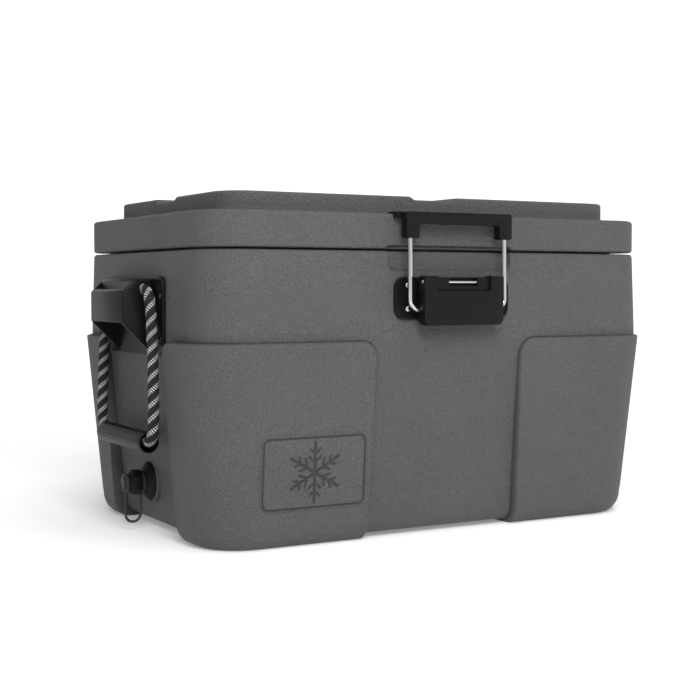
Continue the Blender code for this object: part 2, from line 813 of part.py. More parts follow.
def lid_notch():
    """The cutter for the notch in the lid's lower front edge, whose ends slope."""
    low, top = RECESS_HALF + NOTCH_SLOPE, RECESS_HALF
    under, roof = LID_BOTTOM_Z - 0.01, LID_BOTTOM_Z + NOTCH_HEIGHT
    outline = [(-low, under), (low, under), (low, LID_BOTTOM_Z), (top, roof), (-top, roof), (-low, LID_BOTTOM_Z)]
    return plate("lid_notch", "XZ", outline, -(HALF_Y - NOTCH_DEPTH), -(HALF_Y + 0.02))


def build_lid():
    """The lid's skin, foam, inner pan and gasket."""
    edge = LID_LOWER_EDGE
    lower = [
        ring_at(LID_BOTTOM_Z, *lid_half(edge)),
        ring_at(LID_BOTTOM_Z + 0.3 * edge, *lid_half(0.3 * edge)),
        ring_at(LID_BOTTOM_Z + edge, *lid_half(0.0)),
    ]
    upper = edge_rings(*lid_half(0.0), RIM_Z - RIM_EDGE, RIM_Z, RIM_EDGE)
    skin = loft("lid_shell", lower + upper, SHELL_GREY)
    deck_half = (HALF_X - DECK_INSET[0], HALF_Y - DECK_INSET[1])
    foot = ring_at(RIM_Z - 0.01, *deck_half, DECK_RADIUS)
    deck = edge_rings(*deck_half, DECK_RADIUS, HEIGHT - DECK_EDGE, HEIGHT, DECK_EDGE, 2)
    join(skin, loft("lid_deck", [foot, *deck]))
    roof = RIM_Z - SKIN
    deck_roof = HEIGHT - CHANNEL_DEPTH - SKIN
    deck_inner = [half - SKIN for half in deck_half]
    cut(
        skin,
        loft("lid_cavity", [ring_at(z, *lid_half(SKIN + edge)) for z in (LID_BOTTOM_Z - 0.01, roof)]),
        loft("deck_cavity", [ring_at(z, *deck_inner, DECK_RADIUS - SKIN) for z in (roof - 0.02, deck_roof)]),
        channel("channel_x", True),
        channel("channel_y", False),
        screw_holes("lid_hinge_holes", leaf_screw_places("lid"), (0, 1, 0)),
        lid_notch(),
    )
    carry(LID_BODY, skin)

    inset = SKIN + edge + CLEARANCE
    pan_top = LID_BOTTOM_Z + LID_PAN
    plug_x, plug_y = INNER_X - PLUG_CLEARANCE, INNER_Y - PLUG_CLEARANCE
    plug_radius = LINER_RADIUS - PLUG_CLEARANCE
    plug_low = LID_BOTTOM_Z - PLUG_DEPTH
    pan = loft("lid_pan", [ring_at(z, *lid_half(inset)) for z in (LID_BOTTOM_Z, pan_top)], LINER_GREY)
    plug = [
        ring_at(plug_low, plug_x - 0.003, plug_y - 0.003, plug_radius - 0.003),
        ring_at(plug_low + 0.003, plug_x, plug_y, plug_radius),
        ring_at(pan_top - 0.001, plug_x, plug_y, plug_radius),
    ]
    join(pan, loft("lid_plug", plug))
    hollow = [
        ring_at(z, plug_x - LINER_SKIN - 0.001, plug_y - LINER_SKIN - 0.001, plug_radius - LINER_SKIN - 0.001)
        for z in (plug_low + LINER_SKIN, pan_top + 0.01)
    ]
    groove = gasket_ring("gasket_groove", CLEARANCE, LID_BOTTOM_Z - 0.01, LID_BOTTOM_Z + GASKET_SINK + CLEARANCE)
    cut(pan, loft("plug_hollow", hollow), as_solid(groove))
    carry(LID_BODY, pan)

    gasket = gasket_ring("lid_gasket", 0.0, TUB_TOP_Z + CLEARANCE, LID_BOTTOM_Z + GASKET_SINK, RUBBER)
    carry(LID_BODY, gasket)

    foam_bottom = pan_top + CLEARANCE
    block = [ring_at(z, *lid_half(inset)) for z in (foam_bottom, roof - CLEARANCE)]
    foam = loft("lid_foam", block, FOAM)
    deck_foam = [half - SKIN - CLEARANCE for half in deck_half]
    deck_radius = DECK_RADIUS - SKIN - CLEARANCE
    deck_block = [ring_at(z, *deck_foam, deck_radius) for z in (roof - 0.01, deck_roof - CLEARANCE)]
    margin = LINER_SKIN + 0.001 + CLEARANCE
    plug_foam = [
        ring_at(z, plug_x - margin, plug_y - margin, plug_radius - margin)
        for z in (plug_low + LINER_SKIN + CLEARANCE, foam_bottom + 0.01)
    ]
    join(foam, loft("deck_foam", deck_block), loft("plug_foam", plug_foam))
    carry(LID_BODY, foam)


def gasket_ring(name, margin, low_z, high_z, material=None):
    """A rounded rectangular band halfway across the liner's flange, made wider by a margin each side."""
    middle = (LINER_RIM_INSET + WALL_TOTAL) / 2
    outer, inner = middle - GASKET_WIDTH / 2 - margin, middle + GASKET_WIDTH / 2 + margin
    band = loft(name, [ring_at(z, *lid_half(outer)) for z in (low_z, high_z)], material)
    hole = loft(name + "_hole", [ring_at(z, *lid_half(inner)) for z in (low_z - 0.01, high_z + 0.01)])
    return cut(band, hole)


# ---------------------------------------------------------------- hinges


def build_hinges():
    """Two hinges: a leaf on the tub with the middle knuckle, a leaf on the lid with two, and a pin."""
    tub_face, lid_face = leaf_faces()
    clear = KNUCKLE_RADIUS + KNUCKLE_MARGIN
    half, middle = HINGE_WIDTH / 2, HINGE_MIDDLE / 2
    for side, hinge in (("left", -HINGE_X), ("right", HINGE_X)):
        low = (hinge - half, HINGE_Z - clear - LEAF_HEIGHT)
        high = (hinge + half, HINGE_Z - clear)
        name = side + "_hinge_tub_leaf"
        outline = rectangle(low, high, LEAF_CORNER, 2)
        leaf = plate(name, "XZ", outline, tub_face - LEAF_THICKNESS, tub_face, BLACK)
        neck_low = (hinge - middle, tub_face - LEAF_THICKNESS, HINGE_Z - clear - 0.004)
        knuckle = ((hinge, HINGE_Y, HINGE_Z), (1, 0, 0), KNUCKLE_RADIUS, HINGE_MIDDLE)
        join(
            leaf,
            box(name + "_neck", neck_low, (hinge + middle, HINGE_Y, HINGE_Z)),
            rods(name + "_knuckle", [knuckle], sides=ROUND_SIDES),
        )
        bore = ((hinge, HINGE_Y, HINGE_Z), (1, 0, 0), HINGE_PIN_RADIUS + CLEARANCE, 2 * HINGE_WIDTH)
        cut(leaf, rods(name + "_bore", [bore]))
        holes = [p for p in leaf_screw_places("tub") if p[0] * hinge > 0]
        cut(leaf, screw_holes(name + "_holes", holes, (0, 1, 0)))
        carry(ROOT, leaf)

        name = side + "_hinge_lid_leaf"
        low = (hinge - half, HINGE_Z + clear)
        top = min(HINGE_Z + clear + LEAF_HEIGHT, RIM_Z - RIM_EDGE)
        outline = rectangle(low, (hinge + half, top), LEAF_CORNER, 2)
        leaf = plate(name, "XZ", outline, lid_face - LEAF_THICKNESS, lid_face, BLACK)
        width = half - middle - CLEARANCE
        for mark, sign in (("a", -1), ("b", 1)):
            x = hinge + sign * (half - width / 2)
            neck_low = (x - width / 2, lid_face - LEAF_THICKNESS, HINGE_Z + 0.0022)
            neck_high = (x + width / 2, HINGE_Y, HINGE_Z + clear + 0.004)
            rod = ((x, HINGE_Y, HINGE_Z), (1, 0, 0), KNUCKLE_RADIUS, width)
            join(
                leaf,
                box(name + "_neck_" + mark, neck_low, neck_high),
                rods(name + "_knuckle_" + mark, [rod], sides=ROUND_SIDES),
            )
        cut(leaf, rods(name + "_bore", [bore]))
        holes = [p for p in leaf_screw_places("lid") if p[0] * hinge > 0]
        cut(leaf, screw_holes(name + "_holes", holes, (0, 1, 0)))
        carry(LID_BODY, leaf)

        rod = ((hinge, HINGE_Y, HINGE_Z), (1, 0, 0), HINGE_PIN_RADIUS, HINGE_WIDTH)
        carry(ROOT, rods(side + "_hinge_pin", [rod], STEEL))
        for part, body in (("tub", ROOT), ("lid", LID_BODY)):
            places = [p for p in leaf_screw_places(part) if p[0] * hinge > 0]
            for mark, place in zip(("a", "b"), places):
                screw(f"{side}_hinge_{part}_screw_{mark}", HINGE_SCREW, place, (0, 1, 0), body)


# ---------------------------------------------------------------- latch


def build_latch():
    """The latch's base, pivot pin, lever, wire bail, grip bar and the strike on the lid."""
    base = plate(
        "latch_base",
        "XZ",
        rectangle((-BASE_HALF, BASE_Z[0]), (BASE_HALF, BASE_Z[1]), BASE_RADIUS),
        BASE_FRONT_Y,
        BASE_BACK_Y,
        BLACK,
    )
    inner = BASE_HALF - BASE_BORDER
    sunk_low, sunk_high = (-inner, BASE_Z[0] + BASE_BORDER), (inner, BASE_Z[1] - BASE_BORDER)
    sunk = rectangle(sunk_low, sunk_high, BASE_RADIUS - BASE_BORDER)
    boss_front = LEVER_FRONT_Y + BOSS_RECESS
    boss_half = WINDOW_HALF - 0.0005
    boss_low = PIVOT_Z - WINDOW_DROP + 0.0010
    cut(base, plate("base_sunk", "XZ", sunk, BASE_FRONT_Y + BASE_SINK, BASE_FRONT_Y - 0.01))
    boss = box(
        "pivot_boss",
        (-boss_half, boss_front, boss_low),
        (boss_half, BASE_FRONT_Y + BASE_SINK + 0.001, BASE_Z[1] - 0.0005),
    )
    join(base, boss)
    slot = rectangle((-BOSS_SLOT_HALF, PIVOT_Z - 0.0055), (BOSS_SLOT_HALF, PIVOT_Z + 0.0050), 0.002, 2)
    bore = ((0, PIVOT_Y, PIVOT_Z), (1, 0, 0), PIVOT_RADIUS + CLEARANCE, 4 * LEVER_HALF)
    cut(
        base,
        plate("boss_slot", "XZ", slot, PIVOT_Y + PIVOT_RADIUS + 0.001, boss_front - 0.01),
        rods("base_bore", [bore]),
        screw_holes("base_holes", latch_screw_places(), (0, 1, 0)),
    )
    carry(ROOT, base)
    pin = ((0, PIVOT_Y, PIVOT_Z), (1, 0, 0), PIVOT_RADIUS, 2 * LEVER_HALF + 0.001)
    carry(ROOT, rods("latch_pivot_pin", [pin], STEEL))
    for mark, place in zip(("a", "b", "c", "d"), latch_screw_places()):
        screw("latch_screw_" + mark, LATCH_SCREW, place, (0, -1, 0), ROOT)

    low, high, corner = LEVER_Z[0], LEVER_Z[1], LEVER_CORNER
    front_view = [
        (-LEVER_HALF, low, corner),
        (LEVER_HALF, low, corner),
        (LEVER_HALF, high, 0.0015),
        (-LEVER_HALF, high, 0.0015),
    ]
    face_back = LEVER_FRONT_Y + LEVER_FACE_DEPTH
    lever = plate("latch_lever", "XZ", rounded(front_view), LEVER_FRONT_Y, face_back, BLACK)
    bevel(lever, 0.0012, 2, 60.0)
    margin = LEVER_BACK_MARGIN
    back_low, back_high = (-LEVER_BACK_HALF, low + margin), (LEVER_BACK_HALF, high - margin)
    behind = rectangle(back_low, back_high, LEVER_CORNER - margin, 2)
    join(lever, plate("lever_behind", "XZ", behind, face_back - 0.002, LEVER_BACK_Y))
    hollow = LEVER_BACK_HALF - 2 * LEVER_WALL
    web = PIVOT_Z - WINDOW_DROP - 0.0020
    cut(
        lever,
        box(
            "lever_notch",
            (-WINDOW_HALF, LEVER_FRONT_Y - 0.01, PIVOT_Z - WINDOW_DROP),
            (WINDOW_HALF, LEVER_BACK_Y + 0.01, high + 0.01),
        ),
        box(
            "lever_hollow",
            (-hollow, LEVER_FRONT_Y + LEVER_WALL, low + margin + LEVER_WALL),
            (hollow, LEVER_BACK_Y + 0.01, web),
        ),
        rods("lever_bore", [bore]),
        rods("lever_bail_bore", [((0, BAIL_Y, BAIL_Z), (1, 0, 0), WIRE_RADIUS + 0.0005, 4 * LEVER_HALF)]),
    )
    carry(LEVER_BODY, lever)

    bar_wire_z = GRIP_Z[1] - GRIP_BAR_HEIGHT / 2
    bend = 0.0040
    side_run = [
        Vector((LEVER_BACK_HALF - WIRE_END_SINK, BAIL_Y, BAIL_Z)),
        Vector((LEVER_HALF + 0.0010, BAIL_Y, BAIL_Z)),
        Vector((LEVER_HALF + 0.0060, BAIL_Y, BAIL_Z + 0.0022)),
        Vector((LEG_X - 0.0010, BAIL_Y, BAIL_Z + 0.0075)),
        Vector((LEG_X, BAIL_Y, BAIL_Z + 0.0120)),
        Vector((LEG_X, WIRE_Y, GRIP_Z[0] - 0.004)),
        Vector((LEG_X, WIRE_Y, bar_wire_z - bend)),
        Vector((LEG_X - 0.3 * bend, WIRE_Y, bar_wire_z - 0.3 * bend)),
        Vector((LEG_X - bend, WIRE_Y, bar_wire_z)),
    ]
    other_side = [Vector((-p.x, p.y, p.z)) for p in reversed(side_run)]
    wire = tube("latch_bail_wire", side_run + other_side, WIRE_RADIUS, STEEL, 3)
    carry(BAIL_BODY, wire)

    inner_x = GRIP_HALF - GRIP_LEG_WIDTH
    under = GRIP_Z[1] - GRIP_BAR_HEIGHT
    outline = [
        (-GRIP_HALF, GRIP_Z[0], 0.003),
        (-inner_x, GRIP_Z[0], 0.003),
        (-inner_x, under, 0.005),
        (inner_x, under, 0.005),
        (inner_x, GRIP_Z[0], 0.003),
        (GRIP_HALF, GRIP_Z[0], 0.003),
        (GRIP_HALF, GRIP_Z[1], 0.003),
        (-GRIP_HALF, GRIP_Z[1], 0.003),
    ]
    grip = plate("latch_grip_bar", "XZ", rounded(outline, 3), GRIP_FRONT_Y, GRIP_BACK_Y, BLACK)
    bevel(grip, 0.0010, 2, 60.0)
    room = WIRE_RADIUS + 0.0004
    groove_front = WIRE_Y - room
    groove_back = GRIP_BACK_Y + 0.01
    grooves = [
        box(
            "grip_groove_" + mark,
            (sign * LEG_X - room, groove_front, GRIP_Z[0] - 0.01),
            (sign * LEG_X + room, groove_back, bar_wire_z + room),
        )
        for mark, sign in (("a", -1), ("b", 1))
    ]
    across = box(
        "grip_groove_across",
        (-LEG_X, groove_front, bar_wire_z - room),
        (LEG_X, groove_back, bar_wire_z + room),
    )
    cut(grip, *grooves, across)
    carry(BAIL_BODY, grip)

    front = GRIP_BACK_Y + 0.0004
    top = RIM_Z + CLEARANCE + STRIKE_THICKNESS
    lip_z = RIM_Z - STRIKE_LIP
    side_view = [
        (front, lip_z),
        (-(HALF_Y + CLEARANCE), lip_z),
        (-(HALF_Y + CLEARANCE), RIM_Z + CLEARANCE),
        (-(HALF_Y - STRIKE_REACH), RIM_Z + CLEARANCE),
        (-(HALF_Y - STRIKE_REACH), RIM_Z + CLEARANCE + 0.0008),
        (-(HALF_Y - STRIKE_REACH) - 0.0020, top),
        (front, top),
    ]
    strike = plate("lid_strike", "YZ", side_view, -STRIKE_HALF, STRIKE_HALF, BLACK)
    carry(LID_BODY, strike)


# ---------------------------------------------------------------- rope handles


def build_handle(side, sign):
    """A bracket with its screws, the rope through it, and the grip tube on the rope."""
    front, back = BRACKET_FRONT_X, BRACKET_BACK_X
    outline = rectangle((-BRACKET_HALF, BRACKET_Z[0]), (BRACKET_HALF, BRACKET_Z[1]), BRACKET_RADIUS)
    name = side + "_bracket"
    bracket = plate(name, "YZ", outline, sign * back, sign * front, BLACK)
    edge = BRACKET_BORDER
    sunk = rectangle(
        (-BRACKET_HALF + edge, BRACKET_Z[0] + edge),
        (BRACKET_HALF - edge, BRACKET_Z[1] - edge),
        BRACKET_RADIUS - edge,
    )
    floor = front - BRACKET_SINK
    cut(bracket, plate(name + "_sunk", "YZ", sunk, sign * floor, sign * (front + 0.01)))
    low, high = BLOCK_Z
    reach = BLOCK_FRONT_X - floor
    side_view = [
        (sign * (floor - 0.001), high),
        (sign * (BLOCK_FRONT_X - BLOCK_CHAMFER), high),
        (sign * BLOCK_FRONT_X, high - BLOCK_CHAMFER),
        (sign * BLOCK_FRONT_X, low),
        (sign * (floor - 0.001), low - reach - 0.001),
    ]
    block = bevel(plate(name + "_block", "XZ", side_view, -BLOCK_HALF, BLOCK_HALF), 0.0015, 2, 30.0)
    join(bracket, as_solid(block))
    inside = BLOCK_HALF - BLOCK_WALL
    tray_front = BLOCK_FRONT_X - BLOCK_WALL
    tray_back = tray_front - TRAY_WIDTH
    room_front = tray_back - BLOCK_WALL

    def hollow(tag, x_from, x_to, z_from, z_to):
        """A cutter between the cheeks."""
        xs = sorted((sign * x_from, sign * x_to))
        return box(name + tag, (xs[0], -inside, z_from), (xs[1], inside, z_to))

    cut(
        bracket,
        hollow("_room", floor, room_front, low - reach - 0.01, high - BLOCK_WALL),
        hollow("_under", room_front - 0.001, tray_front + 0.02, low - reach - 0.01, low),
        hollow("_tray", tray_back, tray_front, low + TRAY_FLOOR, high + 0.01),
        rods(name + "_rope_holes", [((sign * ROPE_X, 0, ROPE_Z), (0, 1, 0), ROPE_HOLE_RADIUS, 0.2)], sides=18),
        screw_holes(name + "_holes", bracket_screw_places(sign), (1, 0, 0)),
    )
    carry(ROOT, bracket)
    for mark, place in zip(("a", "b", "c", "d"), bracket_screw_places(sign)):
        screw(f"{side}_bracket_screw_{mark}", BRACKET_SCREW, place, (sign, 0, 0), ROOT)

    def on_rope(y, z):
        """A point of the hanging rope, which leans out a little as it goes down."""
        lean = ROPE_HANG_OUT * (ROPE_Z - z) / (ROPE_Z - GRIP_TUBE_Z)
        return Vector((sign * (ROPE_X + lean), y, z))

    half = [on_rope(y, z) for y, z in ROPE_ROUTE]
    route = [*reversed(half[1:]), *(Vector((p.x, -p.y, p.z)) for p in half)]
    rope = tube(side + "_rope", smooth_line(route, 1), ROPE_RADIUS, ROPE)
    carry(HANDLE_BODY[side], rope)

    middle = Vector((sign * (ROPE_X + ROPE_HANG_OUT), 0, GRIP_TUBE_Z))
    ribs = []
    for i in range(2 * GRIP_RIBS):
        angle = math.pi * i / GRIP_RIBS
        radius = GRIP_TUBE_RADIUS - (GRIP_RIB_DEPTH if i % 2 else 0.0)
        ribs.append((middle.x + radius * math.cos(angle), middle.z + radius * math.sin(angle)))
    grip = plate(side + "_grip", "XZ", ribs, -GRIP_TUBE_HALF, GRIP_TUBE_HALF, BLACK)
    bore = rods(side + "_grip_bore", [(middle, (0, 1, 0), GRIP_TUBE_BORE, 0.4)], sides=16)
    depth = GRIP_TUBE_FLARE + 0.002
    slope = (GRIP_TUBE_MOUTH - GRIP_TUBE_BORE) / GRIP_TUBE_FLARE
    widest = GRIP_TUBE_BORE + slope * depth
    flares = [
        (
            middle + Vector((0, end * (GRIP_TUBE_HALF - GRIP_TUBE_FLARE + depth / 2), 0)),
            (0, end, 0),
            GRIP_TUBE_BORE - CLEARANCE,
            depth,
            widest,
        )
        for end in (-1, 1)
    ]
    cut(grip, bore, rods(side + "_grip_flares", flares, sides=16))
    carry(GRIP_BODY[side], grip)


# ---------------------------------------------------------------- drain


def out_from(x):
    """A distance outwards from the drain's seat, as a place on the drain's axis."""
    return Vector((-(DRAIN_SEAT_X + x), 0, DRAIN_Z))


def build_drain():
    """The spout through the wall, its nut and washer, and the cap with its seal and lanyard."""
    outwards = (-1, 0, 0)
    inner_face = INNER_X - LINER_DRAFT
    inside = DRAIN_SEAT_X - inner_face + DRAIN_WASHER_LENGTH + DRAIN_NUT_LENGTH + 0.003
    edge, rise = DRAIN_FLANGE_EDGE + CLEARANCE, DRAIN_FLANGE_RISE
    profile = [
        (DRAIN_BORE, DRAIN_NECK_LENGTH),
        (DRAIN_NECK, DRAIN_NECK_LENGTH),
        (DRAIN_NECK, rise),
        (DRAIN_NECK + 0.004, rise),
        (DRAIN_FLANGE, edge),
        (DRAIN_FLANGE, CLEARANCE),
        (DRAIN_NECK, CLEARANCE),
        (DRAIN_NECK, -inside),
        (DRAIN_BORE, -inside),
    ]
    spout = turned("drain_spout", profile, out_from(0), outwards, BLACK)
    carry(ROOT, spout)

    face = DRAIN_SEAT_X - inner_face + 0.0010
    start = -face - CLEARANCE
    hole = DRAIN_NECK + CLEARANCE
    washer = [
        (hole, start),
        (DRAIN_NUT_RADIUS, start),
        (DRAIN_NUT_RADIUS, start - DRAIN_WASHER_LENGTH),
        (hole, start - DRAIN_WASHER_LENGTH),
    ]
    carry(ROOT, turned("drain_washer", washer, out_from(0), outwards, RUBBER))
    nut_start = start - DRAIN_WASHER_LENGTH - CLEARANCE
    nut_middle = out_from(nut_start - DRAIN_NUT_LENGTH / 2)
    nut = rods("drain_nut", [(nut_middle, (1, 0, 0), DRAIN_NUT_RADIUS, DRAIN_NUT_LENGTH)], BLACK, sides=6)
    cut(nut, rods("drain_nut_bore", [(nut_middle, (1, 0, 0), hole, 0.05)], sides=ROUND_SIDES))
    carry(ROOT, nut)

    cap_end = CAP_START + CAP_LENGTH
    flutes = []
    for i in range(4 * CAP_FLUTES):
        angle = 2 * math.pi * i / (4 * CAP_FLUTES)
        radius = CAP_RADIUS - (CAP_FLUTE_DEPTH if i % 4 == 0 else 0.0)
        flutes.append((radius * math.cos(angle), DRAIN_Z + radius * math.sin(angle)))
    cap = plate("drain_cap", "YZ", flutes, -(DRAIN_SEAT_X + CAP_START), -(DRAIN_SEAT_X + cap_end), BLACK)
    nose = [
        (0, cap_end + CAP_BEVEL + NUB_LENGTH),
        (NUB_RADIUS - 0.0010, cap_end + CAP_BEVEL + NUB_LENGTH),
        (NUB_RADIUS, cap_end + CAP_BEVEL + NUB_LENGTH - 0.0010),
        (NUB_RADIUS, cap_end + CAP_BEVEL),
        (NUB_RADIUS + 0.002, cap_end + CAP_BEVEL),
        (CAP_RADIUS - CAP_FLUTE_DEPTH - 0.0005, cap_end),
        (CAP_RADIUS - CAP_FLUTE_DEPTH - 0.0005, cap_end - 0.002),
        (0, cap_end - 0.002),
    ]
    join(cap, turned("cap_nose", nose, out_from(0), outwards))
    seal_room = DRAIN_NECK_LENGTH + 0.0026
    room_length = seal_room - CAP_START + 0.01
    room_middle = out_from(seal_room - room_length / 2)
    cut(cap, rods("cap_room", [(room_middle, (1, 0, 0), DRAIN_NECK + 0.0005, room_length)], sides=ROUND_SIDES))
    carry(CAP_BODY, cap)
    seal_low = DRAIN_NECK_LENGTH + CLEARANCE
    seal = [
        (DRAIN_BORE, seal_low + 0.0018),
        (DRAIN_NECK - 0.0005, seal_low + 0.0018),
        (DRAIN_NECK - 0.0005, seal_low),
        (DRAIN_BORE, seal_low),
    ]
    carry(SEAL_BODY, turned("drain_cap_seal", seal, out_from(0), outwards, RUBBER))
    build_lanyard(cap_end + CAP_BEVEL + NUB_LENGTH / 2)


def build_lanyard(nub_middle):
    """A strap with a ring round the spout's neck and a ring round the cap's nub."""
    collar_middle = (DRAIN_FLANGE_RISE + CAP_START) / 2
    collar_half = (CAP_START - DRAIN_FLANGE_RISE) / 2 - CLEARANCE

    def ring(name, middle, half_length, inner, wall):
        """A flat ring round the drain's axis."""
        inside, outside = inner + 0.0004, inner + wall
        profile = [
            (inside, middle + half_length),
            (outside, middle + half_length),
            (outside, middle - half_length),
            (inside, middle - half_length),
        ]
        return turned(name, profile, out_from(0), (-1, 0, 0), RUBBER)

    lanyard = ring("drain_lanyard", collar_middle, collar_half, DRAIN_NECK, 0.0035)
    nub_ring = ring("lanyard_nub_ring", nub_middle, 0.0018, NUB_RADIUS, 0.0030)
    near, far = out_from(collar_middle).x, out_from(nub_middle).x
    bend = (near - far) / 2
    low_z = LANYARD_BOTTOM_Z + LANYARD_WIDTH / 2
    centre = Vector(((near + far) / 2, 0, low_z + bend))
    strap = [Vector((near, 0, DRAIN_Z - DRAIN_NECK - 0.0020))]
    for step in range(9):
        angle = math.pi * step / 8
        strap.append(centre + bend * Vector((math.cos(angle), 0, -math.sin(angle))))
    strap.append(Vector((far, 0, DRAIN_Z - NUB_RADIUS - 0.0020)))
    strip = tube("lanyard_strap", strap, LANYARD_WIDTH / 2, RUBBER)
    join(lanyard, as_solid(strip), nub_ring)
    carry(SEAL_BODY, lanyard)


build_tub()
build_lid()
build_hinges()
build_latch()
build_handle("left", -1)
build_handle("right", 1)
build_drain()
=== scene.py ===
import math

import bpy
import numpy as np
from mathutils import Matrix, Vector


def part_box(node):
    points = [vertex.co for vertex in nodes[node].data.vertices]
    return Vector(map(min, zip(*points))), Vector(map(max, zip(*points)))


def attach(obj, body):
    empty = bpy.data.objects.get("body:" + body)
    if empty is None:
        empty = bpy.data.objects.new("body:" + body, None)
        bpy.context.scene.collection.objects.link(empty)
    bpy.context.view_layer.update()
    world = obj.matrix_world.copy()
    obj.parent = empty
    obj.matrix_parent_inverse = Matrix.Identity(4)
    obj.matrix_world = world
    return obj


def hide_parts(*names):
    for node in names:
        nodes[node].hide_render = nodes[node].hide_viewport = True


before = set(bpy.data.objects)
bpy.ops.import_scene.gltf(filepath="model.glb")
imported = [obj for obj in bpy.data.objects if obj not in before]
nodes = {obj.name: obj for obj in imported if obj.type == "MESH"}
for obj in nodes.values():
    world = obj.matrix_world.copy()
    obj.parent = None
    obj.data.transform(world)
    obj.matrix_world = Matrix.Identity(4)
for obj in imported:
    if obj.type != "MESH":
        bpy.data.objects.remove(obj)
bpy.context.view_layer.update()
scene = bpy.context.scene


# ---------------------------------------------------------------- camera
# A long lens level with the upper part of the tub, to the left of its front.
lens = bpy.data.cameras.new("camera")
lens.lens = 68.66
camera = bpy.data.objects.new("camera", lens)
camera.location = (-0.9955, -1.7050, 0.3334)
camera.rotation_euler = (math.radians(87.2333), 0.0, math.radians(-29.6416))
scene.collection.objects.link(camera)
scene.camera = camera
scene.view_settings.view_transform = "Standard"


# ---------------------------------------------------------------- light
# A white room all round, with one wide soft lamp before the front and one above.
world = bpy.data.worlds.new("room")
world.use_nodes = True
world.node_tree.nodes["Background"].inputs["Color"].default_value = (1.0, 1.0, 1.0, 1.0)
world.node_tree.nodes["Background"].inputs["Strength"].default_value = 0.32
scene.world = world
for name, place, aim, size, power in (
    ("front_lamp", (-0.9, -2.3, 1.8), (0.0, 0.0, 0.30), 1.3, 66.0),
    ("top_lamp", (0.3, -0.4, 2.5), (0.0, 0.0, 0.2), 1.6, 22.0),
):
    lamp = bpy.data.lights.new(name, "AREA")
    lamp.size = size
    lamp.energy = power
    holder = bpy.data.objects.new(name, lamp)
    holder.location = place
    way = [b - a for a, b in zip(place, aim)]
    holder.rotation_euler = (
        math.acos(-way[2] / math.sqrt(sum(v * v for v in way))),
        0.0,
        math.atan2(-way[0], way[1]),
    )
    scene.collection.objects.link(holder)


# ---------------------------------------------------------------- floor
# A pale floor under everything, a disc that curves up far away. It is the stage and not part of the cooler.
# It glows white, more strongly far out and less to the left: painted light that washes out the cooler's
# shadow on it.
steps_out, steps_round = 40, 96
floor_radius, flat_radius, curl = 14.0, 7.0, 0.12
reach = np.linspace(0.0, 1.0, steps_out) ** 1.6 * floor_radius
rise = np.clip(reach - flat_radius, 0.0, None) ** 2 * curl
turn = np.arange(steps_round) / steps_round * 2 * np.pi
x = reach[1:, None] * np.cos(turn)
y = reach[1:, None] * np.sin(turn)
z = np.repeat(rise[1:, None], steps_round, 1)
points = np.concatenate([[[0.0, 0.0, 0.0]], np.stack([x, y, z], -1).reshape(-1, 3)])
index = 1 + np.arange((steps_out - 1) * steps_round).reshape(steps_out - 1, steps_round)
after = np.roll(index, -1, 1)
quads = np.stack([index[:-1], index[1:], after[1:], after[:-1]], -1).reshape(-1, 4)
fan = np.stack([np.zeros(steps_round, int), index[0], after[0]], -1)
paint = bpy.data.materials.new("floor")
paint.use_nodes = True
shader = paint.node_tree.nodes["Principled BSDF"]
shader.inputs["Base Color"].default_value = (0.93, 0.93, 0.93, 1.0)
shader.inputs["Roughness"].default_value = 0.9
shader.inputs["Specular IOR Level"].default_value = 0.1
# Painted light: the floor glows, its strength rising with distance from the middle and falling off towards
# the left.
shader.inputs["Emission Color"].default_value = (1.0, 1.0, 1.0, 1.0)
tree = paint.node_tree
place = tree.nodes.new("ShaderNodeTexCoord")
distance = tree.nodes.new("ShaderNodeVectorMath")
distance.operation = "LENGTH"
painted_floor_light = tree.nodes.new("ShaderNodeMapRange")
painted_floor_light.inputs["From Min"].default_value = 0.5
painted_floor_light.inputs["From Max"].default_value = 4.0
painted_floor_light.inputs["To Min"].default_value = 0.22
painted_floor_light.inputs["To Max"].default_value = 0.72
tree.links.new(place.outputs["Object"], distance.inputs[0])
tree.links.new(distance.outputs["Value"], painted_floor_light.inputs["Value"])
axes = tree.nodes.new("ShaderNodeSeparateXYZ")
painted_light_fade_left = tree.nodes.new("ShaderNodeMapRange")
painted_light_fade_left.inputs["From Min"].default_value = -4.0
painted_light_fade_left.inputs["From Max"].default_value = 0.0
painted_light_fade_left.inputs["To Min"].default_value = 0.25
painted_light_fade_left.inputs["To Max"].default_value = 1.0
painted_light_strength = tree.nodes.new("ShaderNodeMath")
painted_light_strength.operation = "MULTIPLY"
tree.links.new(place.outputs["Object"], axes.inputs[0])
tree.links.new(axes.outputs["X"], painted_light_fade_left.inputs["Value"])
tree.links.new(painted_floor_light.outputs["Result"], painted_light_strength.inputs[0])
tree.links.new(painted_light_fade_left.outputs["Result"], painted_light_strength.inputs[1])
tree.links.new(painted_light_strength.outputs[0], shader.inputs["Emission Strength"])


def new_piece(name, points, faces, finish):
    """A smooth-shaded object of that name from an array of points and a list of faces, in one finish."""
    mesh = bpy.data.meshes.new(name)
    mesh.from_pydata(points.tolist(), [], faces)
    mesh.polygons.foreach_set("use_smooth", np.ones(len(mesh.polygons), bool))
    mesh.materials.append(finish)
    piece = bpy.data.objects.new(name, mesh)
    scene.collection.objects.link(piece)
    return piece


floor = new_piece("floor", points, quads.tolist() + fan.tolist(), paint)
